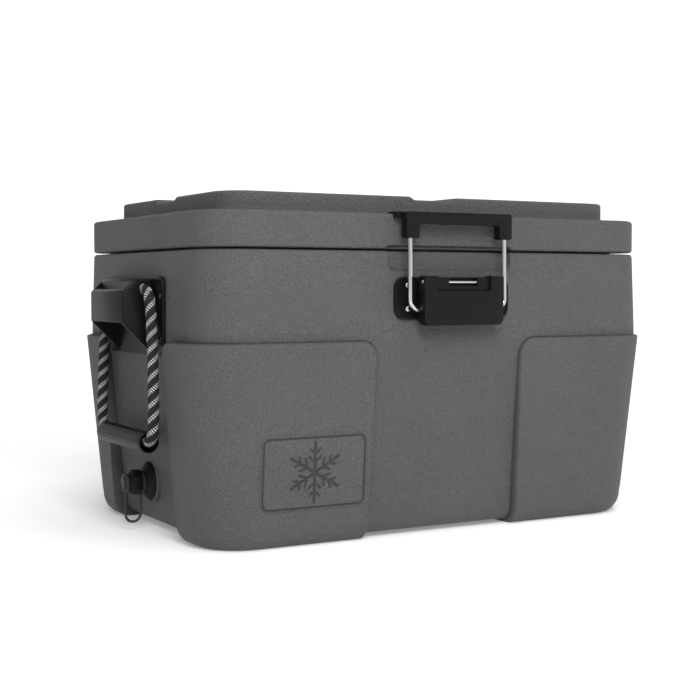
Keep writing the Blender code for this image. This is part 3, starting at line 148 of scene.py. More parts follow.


# ---------------------------------------------------------------- grey shell finish
# Rotationally moulded polyethylene, mid grey, with a fine pebbled grain, shared by the tub, its
# badge and the lid. A per-point crease attribute paints shade into the grooves and along the pad edges of a
# piece that has one.
grey = bpy.data.materials.new("shell_grey")
grey.use_nodes = True
tree = grey.node_tree
shader = tree.nodes["Principled BSDF"]
shader.inputs["Roughness"].default_value = 0.55
shader.inputs["Specular IOR Level"].default_value = 0.20
place = tree.nodes.new("ShaderNodeTexCoord")
grain = tree.nodes.new("ShaderNodeTexNoise")
grain.inputs["Scale"].default_value = 440.0
grain.inputs["Detail"].default_value = 3.0
grain.inputs["Roughness"].default_value = 0.6
drift = tree.nodes.new("ShaderNodeTexNoise")
drift.inputs["Scale"].default_value = 9.0
drift.inputs["Detail"].default_value = 3.0
tone = tree.nodes.new("ShaderNodeValToRGB")
tone.color_ramp.elements[0].position = 0.3
tone.color_ramp.elements[0].color = (0.080, 0.0815, 0.0845, 1.0)
tone.color_ramp.elements[1].position = 0.7
tone.color_ramp.elements[1].color = (0.088, 0.0895, 0.0930, 1.0)


def maths(kind, *values):
    """The output of a math node of that kind over sockets or numbers."""
    node = tree.nodes.new("ShaderNodeMath")
    node.operation = kind
    for socket, value in zip(node.inputs, values):
        if isinstance(value, (int, float)):
            socket.default_value = value
        else:
            tree.links.new(value, socket)
    return node.outputs[0]


bump = tree.nodes.new("ShaderNodeBump")
bump.inputs["Strength"].default_value = 0.85
bump.inputs["Distance"].default_value = 0.0042
tree.links.new(place.outputs["Object"], grain.inputs["Vector"])
tree.links.new(place.outputs["Object"], drift.inputs["Vector"])
tree.links.new(drift.outputs["Fac"], tone.inputs["Fac"])
speckle = tree.nodes.new("ShaderNodeMapRange")
speckle.inputs["From Min"].default_value = 0.30
speckle.inputs["From Max"].default_value = 0.70
speckle.inputs["To Min"].default_value = 0.74
speckle.inputs["To Max"].default_value = 1.28
tint = tree.nodes.new("ShaderNodeVectorMath")
tint.operation = "SCALE"
# Painted shade: a per-point attribute darkens the base colour in grooves and along the pads' edges.
painted_crease_shade = tree.nodes.new("ShaderNodeAttribute")
painted_crease_shade.attribute_name = "painted_crease_shade"
painted_crease_shade_strength = 0.62
shade = maths("SUBTRACT", 1.0, maths("MULTIPLY", painted_crease_shade.outputs["Fac"], painted_crease_shade_strength))
tree.links.new(grain.outputs["Fac"], speckle.inputs["Value"])
tree.links.new(tone.outputs["Color"], tint.inputs[0])
tree.links.new(maths("MULTIPLY", speckle.outputs["Result"], shade), tint.inputs["Scale"])
tree.links.new(tint.outputs["Vector"], shader.inputs["Base Color"])
tree.links.new(grain.outputs["Fac"], bump.inputs["Height"])
tree.links.new(bump.outputs["Normal"], shader.inputs["Normal"])


# ---------------------------------------------------------------- tub skin
# The double-walled grey tub: a tapering core with four corner pads that are also its feet,
# a finger recess in the front rim and a round seat for the drain. One moulded piece.
low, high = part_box("tub_shell")
mid_y = (low.y + high.y) / 2
half_x, half_y, corner, top_edge = 0.350, 0.234, 0.064, 0.0045
top_z = high.z
straight = np.array([half_x, half_y]) - corner
# Places along a quarter of the front and of an end, closer together where the shape changes.
side_x = np.concatenate([
    np.linspace(0.0, 0.0860, 7)[:-1], np.linspace(0.0860, 0.1010, 26)[:-1],
    np.linspace(0.1010, 0.1110, 4)[:-1], np.linspace(0.1110, 0.1430, 34)[:-1],
    np.linspace(0.1430, straight[0], 14),
])
side_y = np.concatenate([
    np.linspace(0.0, 0.1000, 8)[:-1], np.linspace(0.1000, 0.1085, 5)[:-1],
    np.linspace(0.1085, 0.1400, 34)[:-1], np.linspace(0.1400, straight[1], 5),
])
along_x = np.concatenate([-side_x[:0:-1], side_x]) / straight[0]
along_y = np.concatenate([-side_y[:0:-1], side_y]) / straight[1]
bend = np.linspace(0.0, np.pi / 2, 17)[1:-1]


def ring_plan(along_x, along_y, bend):
    """Once round a rounded rectangle from its front left: how far each point is pulled to the two
    sides, from -1 to 1, and the angle that it faces."""
    bent, wide, deep = np.ones(len(bend)), np.ones(len(along_x)), np.ones(len(along_y))
    pull_x = np.concatenate([along_x, bent, deep, bent, along_x[::-1], -bent, -deep, -bent])
    pull_y = np.concatenate([-wide, -bent, along_y, bent, wide, bent, along_y[::-1], -bent])
    angle = np.concatenate([
        -wide * np.pi / 2, bend - np.pi / 2, 0 * deep, bend,
        wide * np.pi / 2, bend + np.pi / 2, deep * np.pi, bend + np.pi,
    ])
    return pull_x, pull_y, angle


n_x = len(along_x)
pull_x, pull_y, angle = ring_plan(along_x, along_y, bend)
on_front = np.zeros(len(angle), bool)
on_front[:n_x] = True


def rounded_rings(half_x, half_y, radius, height):
    """Rings of a rounded rectangle: the straight part's end moved by its pull cubed, plus the
    radius times the angle's cosine and sine."""
    half_x, half_y, radius = half_x[:, None], half_y[:, None], radius[:, None]
    out_x = pull_x * straight[0] + pull_x ** 3 * (half_x - radius - straight[0]) + radius * np.cos(angle)
    out_y = pull_y * straight[1] + pull_y ** 3 * (half_y - radius - straight[1]) + radius * np.sin(angle)
    return np.stack([out_x, out_y, np.broadcast_to(height[:, None], out_x.shape)], -1)


def ring_faces(index):
    """Quads between each ring of point numbers and the next, each ring closed on itself."""
    after = np.roll(index, -1, 1)
    return np.stack([index[:-1], after[:-1], after[1:], index[1:]], -1).reshape(-1, 4).tolist()


def paint_crease_shade(piece, depth):
    """Write how much painted groove shade the piece's first points get, from 0 to 1. The rest get 0."""
    hollow = np.zeros(len(piece.data.vertices))
    hollow[:depth.size] = depth.ravel()
    piece.data.attributes.new("painted_crease_shade", "FLOAT", "POINT").data.foreach_set("value", hollow)


def soft_step(value, width):
    """A quarter sine from 0 where the value is 0 to 1 where it reaches the width."""
    return np.sin(np.clip(value / width, 0.0, 1.0) * np.pi / 2)


# The core: underside, bottom fillet, the tapering side, then the rounded top edge.
underside_z = 0.006
shrink = np.array([0.125, 0.088, 0.084, 0.080, 0.074, 0.060, 0.030, 0.012])
sweep = np.linspace(0.0, np.pi / 2, 9)
side_z = np.concatenate([
    np.linspace(0.030, 0.130, 13)[1:], np.linspace(0.130, 0.234, 12)[1:],
    np.linspace(0.234, 0.2555, 22)[1:], np.linspace(0.2555, 0.2640, 20)[1:],
    np.linspace(0.2640, 0.3500, 9)[1:], np.linspace(0.3500, 0.3580, 14)[1:],
    np.linspace(0.3580, top_z - top_edge, 5)[1:],
])
knots = [0.030, 0.130, 0.266, top_z]
core_x = np.interp(side_z, knots, [0.3275, 0.3400, 0.3530, half_x])
core_y = np.interp(side_z, knots, [0.2121, 0.2211, 0.2370, half_y])
fillet = 0.017 * (1 - np.sin(sweep))
edge = np.linspace(0.0, np.pi / 2, 7)[1:]
drawn = top_edge * (1 - np.cos(edge))
core = rounded_rings(
    np.concatenate([0.3105 - shrink, 0.3275 - fillet, core_x, core_x[-1] - drawn, [0.3415, 0.3360]]),
    np.concatenate([0.1951 - shrink, 0.2121 - fillet, core_y, core_y[-1] - drawn, [0.2255, 0.2200]]),
    np.concatenate([
        np.maximum(0.047 - shrink, 0.004), corner - fillet, np.full(len(side_z), corner), corner - drawn,
        [0.0555, 0.050],
    ]),
    np.concatenate([
        np.full(len(shrink), underside_z), underside_z + 0.024 * (1 - np.cos(sweep)), side_z,
        top_z - top_edge * (1 - np.sin(edge)), [top_z, top_z],
    ]),
)
# The pads' block over the same rows.
pad_fillet = 0.024 * (1 - np.sin(sweep))
pad_corner = 0.0735
pad_ends_z, pad_half_x, pad_half_y = [0.024, 0.2585], [0.3454, 0.3628], [0.2226, 0.2400]
pad_x = np.interp(side_z, pad_ends_z, pad_half_x)
pad_y = np.interp(side_z, pad_ends_z, pad_half_y)
rest = len(edge) + 2
pads = rounded_rings(
    np.concatenate([0.3214 - shrink, pad_half_x[0] - pad_fillet, pad_x, np.full(rest, pad_x[-1])]),
    np.concatenate([0.1986 - shrink, pad_half_y[0] - pad_fillet, pad_y, np.full(rest, pad_y[-1])]),
    np.concatenate([
        np.maximum(0.0495 - shrink, 0.004), pad_corner - pad_fillet,
        np.full(len(side_z) + rest, pad_corner),
    ]),
    np.concatenate([np.zeros(len(shrink)), 0.030 * (1 - np.cos(sweep)), side_z, core[-rest:, 0, 2]]),
)
# How far each point lies inside a pad, with the pad's top inner corner rounded.
pad_inner_x, pad_inner_y, pad_top_z, inner = 0.1125, 0.1095, 0.2625, 0.025
across, deep, up = np.abs(core[..., 0]), np.abs(core[..., 1]), core[..., 2]
spread = 0.005 * np.clip((0.262 - up) / 0.282, 0.0, 1.0)
beside = np.minimum(across - pad_inner_x - spread, deep - pad_inner_y - spread)
below = pad_top_z - up
inside = np.minimum(beside, below)
rounding = (beside < inner) & (below < inner)
arc = inner - np.hypot(inner - beside, inner - below)
inside = np.where(rounding, arc, inside)
step_width = 0.0030
share = soft_step(inside, step_width)[..., None]
# A thin line of painted shade along each pad's edge, where the pad's step meets the core.
crease_shade_at, crease_shade_width = -0.0002, 0.0011
painted_crease_shade = np.exp(-((inside - crease_shade_at) / crease_shade_width) ** 2)
skin = core + (pads - core) * share
# The finger recess, pushed in from the front.
recess_half, recess_z, recess_depth, inner = 0.0983, 0.3524, 0.0075, 0.009
across, up = np.abs(skin[..., 0]), skin[..., 2]
beside, above = recess_half - across, up - recess_z
into = np.minimum(beside, above)
rounding = (beside < inner) & (above < inner)
into = np.where(rounding, inner - np.hypot(inner - beside, inner - above), into)
push = soft_step(into, step_width) * recess_depth
push[-1] *= 0.0
push[-2] *= 0.5
skin[..., 1] += np.where(on_front, push, 0.0)
# The flat seats behind the handle brackets.
bracket_face_x, bracket_half_y, bracket_low_z, bracket_high_z = 0.3522, 0.1052, 0.2410, 0.3462
seated = (np.abs(skin[..., 1]) < bracket_half_y) & (skin[..., 2] > bracket_low_z)
seated &= skin[..., 2] < bracket_high_z
skin[..., 0] = np.where(seated, np.clip(skin[..., 0], -bracket_face_x, bracket_face_x), skin[..., 0])
# The inside of the wall, down to the inside of the floor.
floor_z = 0.0110
lining = rounded_rings(
    np.array([0.3360, 0.3440, 0.3480, 0.3350, 0.3210, 0.3000]),
    np.array([0.2200, 0.2280, 0.2320, 0.2160, 0.2050, 0.1850]),
    np.array([0.050, 0.058, 0.060, 0.060, 0.056, 0.040]),
    np.array([0.3463, 0.3420, 0.2660, 0.1300, 0.0300, floor_z]),
)
rows = np.concatenate([skin, lining])
n_rows, n_round = rows.shape[:2]
points = rows.reshape(-1, 3)
index = np.arange(n_rows * n_round).reshape(n_rows, n_round)
after = np.roll(index, -1, 1)
faces = ring_faces(index)
first, last = len(points), len(points) + 1
faces += np.stack([np.full(n_round, first), after[0], index[0]], -1).tolist()
faces += np.stack([np.full(n_round, last), index[-1], after[-1]], -1).tolist()
points = np.concatenate([points, [[0.0, 0.0, underside_z], [0.0, 0.0, floor_z]]])
# The drain's round seat, turned about its own axis on the left end.
seat_r = np.array([0.0290, 0.0290, 0.0288, 0.0281, 0.0272, 0.0120])
seat_x = -np.array([0.3240, 0.3344, 0.3353, 0.3360, 0.336125, 0.336125])
drain_z, n_turn = 0.066, 72
turn = np.arange(n_turn) / n_turn * 2 * np.pi
ring = np.stack([
    np.repeat(seat_x[:, None], n_turn, 1), seat_r[:, None] * np.cos(turn),
    drain_z + seat_r[:, None] * np.sin(turn),
], -1)
index = len(points) + np.arange(len(seat_r) * n_turn).reshape(-1, n_turn)
after = np.roll(index, -1, 1)
faces += np.stack([index[:-1], index[1:], after[1:], after[:-1]], -1).reshape(-1, 4).tolist()
faces += [index[0].tolist(), index[-1][::-1].tolist()]
points = np.concatenate([points, ring.reshape(-1, 3)]) + [0.0, mid_y, 0.0]
tub = new_piece("tub_skin", points, faces, grey)
paint_crease_shade(tub, painted_crease_shade)
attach(tub, "tub")
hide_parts("tub_shell")


# ---------------------------------------------------------------- badge
# A low plaque on the left front pad, moulded with the tub in the same grey plastic: a sunk rounded
# frame round a plain six-armed star, with painted shade in its sunk lines.
badge_x, badge_z = -0.20205, 0.0967
half_wide, half_high, round_off = 0.07565, 0.0478, 0.0110
raised, sunk_by, rim_depth, sheet_depth, groove_shade = 0.0014, 0.0012, 0.0005, 0.0020, 0.75
frame_in, frame_half_line, line_fades = 0.0030, 0.0008, 0.0007
margin_x, margin_z = 0.0767, 0.0489
across_x, across_z = np.meshgrid(
    np.linspace(-margin_x, margin_x, 260), np.linspace(-margin_z, margin_z, 166),
)


def rounded_distance(x, z, wide, high, radius):
    """The distance outside a rounded rectangle, less than nothing inside it: the distance from the
    corner's centre less its radius."""
    over_x, over_z = np.abs(x) - (wide - radius), np.abs(z) - (high - radius)
    beyond = np.hypot(np.maximum(over_x, 0), np.maximum(over_z, 0))
    return beyond + np.minimum(np.maximum(over_x, over_z), 0) - radius


def star_distance(x, z):
    """Roughly the distance outside a star of six arms with two pairs of twigs each: every point is
    folded by sixths of a turn on to one arm, and the nearest of its bars counts."""
    folded = np.abs((np.arctan2(x, z) + np.pi / 6) % (np.pi / 3) - np.pi / 6)
    along, aside = np.hypot(x, z) * np.cos(folded), np.hypot(x, z) * np.sin(folded)
    half_arm, arm_length, half_twig = 0.0016, 0.0400, 0.0012
    twig_cosine, twig_sine = 0.7660, 0.6428  # twigs lean 50 degrees away from the arm
    shape = np.maximum(aside - half_arm, along - arm_length)
    for start, reach_out in ((0.0130, 0.0090), (0.0240, 0.0070)):
        off = np.abs((along - start) * twig_cosine - aside * twig_sine)
        shape = np.minimum(shape, np.maximum(off - half_twig, aside - reach_out))
    return shape


edge = rounded_distance(across_x, across_z, half_wide, half_high, round_off)
rim = np.clip((0.0010 - edge) / 0.0012, 0.0, 1.0)
frame_line = np.clip(1.3 - (np.abs(edge + frame_in) - frame_half_line) / line_fades, 0.0, 1.0)
star_line = np.clip(1.0 - star_distance(across_x, across_z) / line_fades, 0.0, 1.0)
sunk = np.maximum(frame_line, star_line)
height = rim * (raised + rim_depth) - rim_depth - sunk_by * sunk * rim
up = badge_z + across_z
face_y = mid_y - np.interp(up, pad_ends_z, pad_half_y)
rows = np.stack([badge_x + across_x, face_y - height, up], -1)
n_rows, n_across = rows.shape[:2]
points = rows.reshape(-1, 3)
index = np.arange(n_rows * n_across).reshape(n_rows, n_across)
faces = np.stack([index[:-1, :-1], index[:-1, 1:], index[1:, 1:], index[1:, :-1]], -1)
faces = faces.reshape(-1, 4).tolist()
# Closed behind by a border set back into the pad and one flat face over it.
border = np.concatenate([index[0, :-1], index[:-1, -1], index[-1, :0:-1], index[:0:-1, 0]])
back = len(points) + np.arange(len(border))
points = np.concatenate([points, points[border] + [0.0, sheet_depth, 0.0]])
faces += np.stack([border, back, np.roll(back, -1), np.roll(border, -1)], -1).tolist()
faces += [back[::-1].tolist()]
badge = new_piece("badge", points, faces, grey)
# Painted shade in the sunk frame and star lines.
paint_crease_shade(badge, groove_shade * sunk * rim)
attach(badge, "tub")


# ---------------------------------------------------------------- lid skin
# The grey lid: a rounded block with a raised deck crossed by two shallow channels, and a notch
# in its lower front edge. Moulded in one piece and hung on the two rear hinges.
low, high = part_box("lid_shell")
mid_y = (low.y + high.y) / 2
bottom_z, rim_z, deck_z = low.z, 0.4266, high.z
lower_edge, upper_edge, crown_edge, deck_inset = 0.0035, 0.0045, 0.0040, 0.0394
shell_under_z = rim_z - 0.004
straight = np.array([0.286, 0.170])
side_x = np.concatenate([
    np.linspace(0.0, 0.0285, 5)[:-1], np.linspace(0.0285, 0.0400, 18)[:-1],
    np.linspace(0.0400, 0.0955, 6)[:-1], np.linspace(0.0955, 0.1035, 14)[:-1],
    np.linspace(0.1035, 0.286, 16),
])
side_y = np.concatenate([
    np.linspace(0.0, 0.0285, 5)[:-1], np.linspace(0.0285, 0.0400, 18)[:-1], np.linspace(0.0400, 0.170, 12),
])
along_x = np.concatenate([-side_x[:0:-1], side_x]) / straight[0]
along_y = np.concatenate([-side_y[:0:-1], side_y]) / straight[1]
bend = np.linspace(0.0, np.pi / 2, 21)[1:-1]
n_x, n_y, n_b = len(along_x), len(along_y), len(bend)
pull_x, pull_y, angle = ring_plan(along_x, along_y, bend)
quarter = np.linspace(0.0, np.pi / 2, 7)
# The profile, as insets from the lid's side and heights, from its underside over the rim to the deck.
lower = lower_edge * (1 - np.sin(quarter))
lower_z = bottom_z + lower_edge * (1 - np.cos(quarter))
upper = upper_edge * (1 - np.cos(quarter))
upper_z = rim_z - upper_edge * (1 - np.sin(quarter))
foot = np.array([0.012, 0.030, 0.0372, 0.0381, 0.0389, deck_inset])
foot_z = rim_z + np.array([0.0, 0.0, 0.0, 0.0003, 0.0010, 0.0021])
crown = deck_inset + crown_edge * (1 - np.cos(quarter))
crown_z = deck_z - crown_edge * (1 - np.sin(quarter))
flat = np.array([0.0480, 0.0560])
inset = np.concatenate([
    [0.0360, 0.0075, 0.0075, 0.0052], lower, np.zeros(9), upper, foot, [deck_inset, deck_inset],
    crown, flat,
])
height = np.concatenate([
    [shell_under_z, shell_under_z, bottom_z, bottom_z], lower_z,
    np.linspace(bottom_z + 0.0045, 0.3925, 6), np.linspace(0.400, 0.420, 3), upper_z, foot_z,
    [0.435, 0.442], crown_z, [deck_z, deck_z],
])
deck_radius = np.interp(
    inset, [0.012, 0.0372, deck_inset, 0.0434, 0.0560], [0.052, 0.0425, 0.0407, 0.0367, 0.0260],
)
radius = np.where(inset < 0.0095, corner - inset, deck_radius)
inset_y = np.where(inset > 0.02, inset - 0.0008, inset)
rows = rounded_rings(half_x - inset, half_y - inset_y, radius, height)


def channel_depth(offset):
    """The depth of a channel at an offset from its middle line: straight sloping sides mixed with a
    cosine that eases their edges."""
    half_channel, side_width, deepest = 0.0380, 0.0080, 0.0045
    share = np.clip((half_channel - np.abs(offset)) / side_width, 0.0, 1.0)
    return deepest * (0.5 - 0.5 * np.cos(share * np.pi)) * 0.35 + deepest * share * 0.65


# The channels fade out down the deck's side.
fades_z = 0.4300
upper_share = np.clip((rows[..., 2] - fades_z) / (deck_z - fades_z), 0.0, 1.0)
sunk = np.maximum(channel_depth(rows[..., 0]), channel_depth(rows[..., 1]))
rows[..., 2] -= np.where(upper_share > 0, sunk * upper_share, 0.0)
# The notch in the lower front edge, above the tub's finger recess.
notch_half, notch_height, notch_end, notch_fades_z = 0.1013, 0.0039, 0.0040, 0.3900
lift = notch_height * np.clip((notch_half - np.abs(rows[..., 0])) / notch_end, 0.0, 1.0)
lift = lift * np.clip((notch_fades_z - rows[..., 2]) / (notch_fades_z - bottom_z), 0.0, 1.0)
in_front = np.zeros(len(angle), bool)
in_front[:n_x] = True
rows[2:, :, 2] += np.where(in_front & (rows[2:, :, 2] < notch_fades_z), lift[2:], 0.0)
# The deck's middle is a plain grid whose border is the last ring, drawn in to a rectangle.
drawn_in = 0.066
last = rounded_rings(*(
    np.array([value]) for value in (half_x - drawn_in, half_y - drawn_in, 0.0, deck_z)
))[0]
grid_x = last[:n_x, 0]
grid_y = last[n_x + n_b:n_x + n_b + n_y, 1]
deck = np.stack(np.broadcast_arrays(grid_x[None, :], grid_y[:, None], deck_z), -1).copy()
deck[..., 2] -= np.maximum(channel_depth(deck[..., 0]), channel_depth(deck[..., 1]))
n_rows, n_round = rows.shape[:2]
points = np.concatenate([rows.reshape(-1, 3), deck.reshape(-1, 3), [[0.0, 0.0, shell_under_z]]])
index = np.arange(n_rows * n_round).reshape(n_rows, n_round)
after = np.roll(index, -1, 1)
faces = ring_faces(index)
base = n_rows * n_round
inner = base + np.arange(n_y * n_x).reshape(n_y, n_x)
deck_faces = np.stack([inner[:-1, :-1], inner[:-1, 1:], inner[1:, 1:], inner[1:, :-1]], -1)
faces += deck_faces.reshape(-1, 4).tolist()
border = np.concatenate([
    inner[0], np.full(n_b, inner[0, -1]), inner[:, -1], np.full(n_b, inner[-1, -1]),
    inner[-1, ::-1], np.full(n_b, inner[-1, 0]), inner[::-1, 0], np.full(n_b, inner[0, 0]),
])
next_border = np.roll(border, -1)
joined = np.stack([index[-1], after[-1], next_border, border], -1)
same = next_border == border
faces += joined[~same].tolist() + joined[same][:, [0, 1, 3]].tolist()
centre = len(points) - 1
faces += np.stack([np.full(n_round, centre), after[0], index[0]], -1).tolist()
lid = new_piece("lid_skin", points + [0.0, mid_y, 0.0], faces, grey)
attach(lid, "lid")
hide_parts("lid_shell")


# ---------------------------------------------------------------- black plastic parts
# Moulded black nylon with a fine matt grain: the handle brackets, the latch's base, lever and grip bar,
# the strike on the lid, the hinge leaves, and the drain's spout, nut and cap. Screwed or moulded on.
black = bpy.data.materials.new("black_nylon")
black.use_nodes = True
tree = black.node_tree
shader = tree.nodes["Principled BSDF"]
shader.inputs["Base Color"].default_value = (0.0065, 0.0065, 0.0067, 1.0)
shader.inputs["Roughness"].default_value = 0.38
shader.inputs["Specular IOR Level"].default_value = 0.10
place = tree.nodes.new("ShaderNodeTexCoord")
grain = tree.nodes.new("ShaderNodeTexNoise")
grain.inputs["Scale"].default_value = 1100.0
grain.inputs["Detail"].default_value = 2.0
bump = tree.nodes.new("ShaderNodeBump")
bump.inputs["Strength"].default_value = 0.30
bump.inputs["Distance"].default_value = 0.0003
tree.links.new(place.outputs["Object"], grain.inputs["Vector"])
tree.links.new(grain.outputs["Fac"], bump.inputs["Height"])
tree.links.new(bump.outputs["Normal"], shader.inputs["Normal"])


def soften_edges(part, width, segments, sharp_above, finish):
    """Weld a CAD piece's loose triangles, round each edge that turns by more than that many degrees
    with a bevel of that width, and give the piece its finish."""
    part.data.polygons.foreach_set("use_smooth", np.ones(len(part.data.polygons), bool))
    weld = part.modifiers.new("weld", "WELD")
    weld.merge_threshold = 0.00001
    soften = part.modifiers.new("soften", "BEVEL")
    soften.width = width
    soften.segments = segments
    soften.limit_method = "ANGLE"
    soften.angle_limit = math.radians(sharp_above)
    soften.harden_normals = True
    part.data.materials.clear()
    part.data.materials.append(finish)


for name, width in (
    ("left_bracket", 0.0009), ("right_bracket", 0.0009), ("latch_base", 0.0008), ("latch_lever", 0.0010),
    ("latch_grip_bar", 0.0022), ("lid_strike", 0.0006), ("left_hinge_tub_leaf", 0.0007),
    ("right_hinge_tub_leaf", 0.0007), ("left_hinge_lid_leaf", 0.0007), ("right_hinge_lid_leaf", 0.0007),
    ("drain_spout", 0.0005), ("drain_nut", 0.0005), ("drain_cap", 0.0006),
):
    soften_edges(nodes[name], width, 3, 34, black)


# ---------------------------------------------------------------- steel parts
# Bright stainless steel: the latch's wire bail and pivot pin, the hinge pins and every screw. The
# screws in the handle brackets are darkened steel.
steel = bpy.data.materials.new("stainless_steel")
steel.use_nodes = True
tree = steel.node_tree
shader = tree.nodes["Principled BSDF"]
shader.inputs["Base Color"].default_value = (0.52, 0.51, 0.50, 1.0)
shader.inputs["Metallic"].default_value = 1.0
place = tree.nodes.new("ShaderNodeTexCoord")
stretch = tree.nodes.new("ShaderNodeMapping")
stretch.inputs["Scale"].default_value = (400.0, 400.0, 30.0)
brush = tree.nodes.new("ShaderNodeTexNoise")
brush.inputs["Scale"].default_value = 1.0
rough = tree.nodes.new("ShaderNodeMapRange")
rough.inputs["To Min"].default_value = 0.16
rough.inputs["To Max"].default_value = 0.22
tree.links.new(place.outputs["Object"], stretch.inputs["Vector"])
tree.links.new(stretch.outputs["Vector"], brush.inputs["Vector"])
tree.links.new(brush.outputs["Fac"], rough.inputs["Value"])
tree.links.new(rough.outputs["Result"], shader.inputs["Roughness"])
dull = steel.copy()
dull.name = "stainless_steel_dark"
dull.node_tree.nodes["Principled BSDF"].inputs["Base Color"].default_value = (0.06, 0.06, 0.06, 1.0)
for name, part in nodes.items():
    if name.endswith(("_wire", "_pin")) or "_screw" in name:
        soften_edges(part, 0.0005, 2, 40, dull if "_bracket_screw" in name else steel)


# ---------------------------------------------------------------- liner and pan
# The pale inside: the tub's liner and the lid's inner pan, smooth polyethylene joined to the skins.
# The pan's outer edge lies in the gap under the lid and is painted near black: painted shade of the gap.
pale = bpy.data.materials.new("liner_grey")
pale.use_nodes = True
tree = pale.node_tree
shader = tree.nodes["Principled BSDF"]
shader.inputs["Roughness"].default_value = 0.42
place = tree.nodes.new("ShaderNodeTexCoord")
cloud = tree.nodes.new("ShaderNodeTexNoise")
cloud.inputs["Scale"].default_value = 14.0
cloud.inputs["Detail"].default_value = 4.0
tone = tree.nodes.new("ShaderNodeValToRGB")
tone.color_ramp.elements[0].color = (0.60, 0.61, 0.62, 1.0)
tone.color_ramp.elements[1].color = (0.66, 0.67, 0.68, 1.0)
tree.links.new(place.outputs["Object"], cloud.inputs["Vector"])
tree.links.new(cloud.outputs["Fac"], tone.inputs["Fac"])
tree.links.new(tone.outputs["Color"], shader.inputs["Base Color"])
pan_with_gap_shade = pale.copy()
pan_with_gap_shade.name = "liner_grey_painted_gap_shade"
# Painted shade: beyond these half sizes the pan's colour turns near black, in the gap under the lid.
shade_beyond_half_x, shade_beyond_half_y = 0.334, 0.218
low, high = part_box("lid_pan")
tree = pan_with_gap_shade.node_tree
axes = tree.nodes.new("ShaderNodeSeparateXYZ")
wide = tree.nodes.new("ShaderNodeMath")
wide.operation = "GREATER_THAN"
wide.inputs[1].default_value = shade_beyond_half_x
size = tree.nodes.new("ShaderNodeMath")
size.operation = "ABSOLUTE"
deep = tree.nodes.new("ShaderNodeMath")
deep.operation = "COMPARE"
deep.inputs[1].default_value = (low.y + high.y) / 2
deep.inputs[2].default_value = shade_beyond_half_y
both = tree.nodes.new("ShaderNodeMath")
both.operation = "SUBTRACT"
both.use_clamp = True
painted_gap_shade_mix = tree.nodes.new("ShaderNodeMix")
painted_gap_shade_mix.data_type = "RGBA"
painted_gap_shade_mix.inputs["A"].default_value = (0.03, 0.03, 0.031, 1.0)
ramp = next(node for node in tree.nodes if node.bl_idname == "ShaderNodeValToRGB")
where = next(node for node in tree.nodes if node.bl_idname == "ShaderNodeTexCoord")
tree.links.new(where.outputs["Object"], axes.inputs[0])
tree.links.new(axes.outputs["X"], size.inputs[0])
tree.links.new(size.outputs[0], wide.inputs[0])
tree.links.new(axes.outputs["Y"], deep.inputs[0])
tree.links.new(deep.outputs[0], both.inputs[0])
tree.links.new(wide.outputs[0], both.inputs[1])
tree.links.new(both.outputs[0], painted_gap_shade_mix.inputs["Factor"])
tree.links.new(ramp.outputs["Color"], painted_gap_shade_mix.inputs["B"])
tree.links.new(painted_gap_shade_mix.outputs["Result"], tree.nodes["Principled BSDF"].inputs["Base Color"])
for name, width, finish in (("tub_liner", 0.0020, pale), ("lid_pan", 0.0012, pan_with_gap_shade)):
    soften_edges(nodes[name], width, 3, 34, finish)


# ---------------------------------------------------------------- foam
# The insulating foam inside the tub's walls and the lid, shut in between the skins.
cream = bpy.data.materials.new("foam")
cream.use_nodes = True
tree = cream.node_tree
shader = tree.nodes["Principled BSDF"]
shader.inputs["Roughness"].default_value = 0.95
place = tree.nodes.new("ShaderNodeTexCoord")
cells = tree.nodes.new("ShaderNodeTexVoronoi")
cells.inputs["Scale"].default_value = 500.0
tone = tree.nodes.new("ShaderNodeValToRGB")
tone.color_ramp.elements[0].color = (0.62, 0.56, 0.40, 1.0)
tone.color_ramp.elements[1].color = (0.80, 0.74, 0.54, 1.0)
tree.links.new(place.outputs["Object"], cells.inputs["Vector"])
tree.links.new(cells.outputs["Distance"], tone.inputs["Fac"])
tree.links.new(tone.outputs["Color"], shader.inputs["Base Color"])
for name in ("tub_foam", "lid_foam"):
    nodes[name].data.materials.clear()
    nodes[name].data.materials.append(cream)


# ---------------------------------------------------------------- rubber parts
# Soft black rubber: the lid's gasket in its groove, and the drain's washer, cap seal and lanyard.
rubber = bpy.data.materials.new("black_rubber")
rubber.use_nodes = True
tree = rubber.node_tree
shader = tree.nodes["Principled BSDF"]
shader.inputs["Base Color"].default_value = (0.017, 0.017, 0.017, 1.0)
place = tree.nodes.new("ShaderNodeTexCoord")
dust = tree.nodes.new("ShaderNodeTexNoise")
dust.inputs["Scale"].default_value = 700.0
rough = tree.nodes.new("ShaderNodeMapRange")
rough.inputs["To Min"].default_value = 0.55
rough.inputs["To Max"].default_value = 0.80
tree.links.new(place.outputs["Object"], dust.inputs["Vector"])
tree.links.new(dust.outputs["Fac"], rough.inputs["Value"])
tree.links.new(rough.outputs["Result"], shader.inputs["Roughness"])
for name in ("lid_gasket", "drain_washer", "drain_cap_seal", "drain_lanyard"):
    soften_edges(nodes[name], 0.0004, 2, 40, rubber)


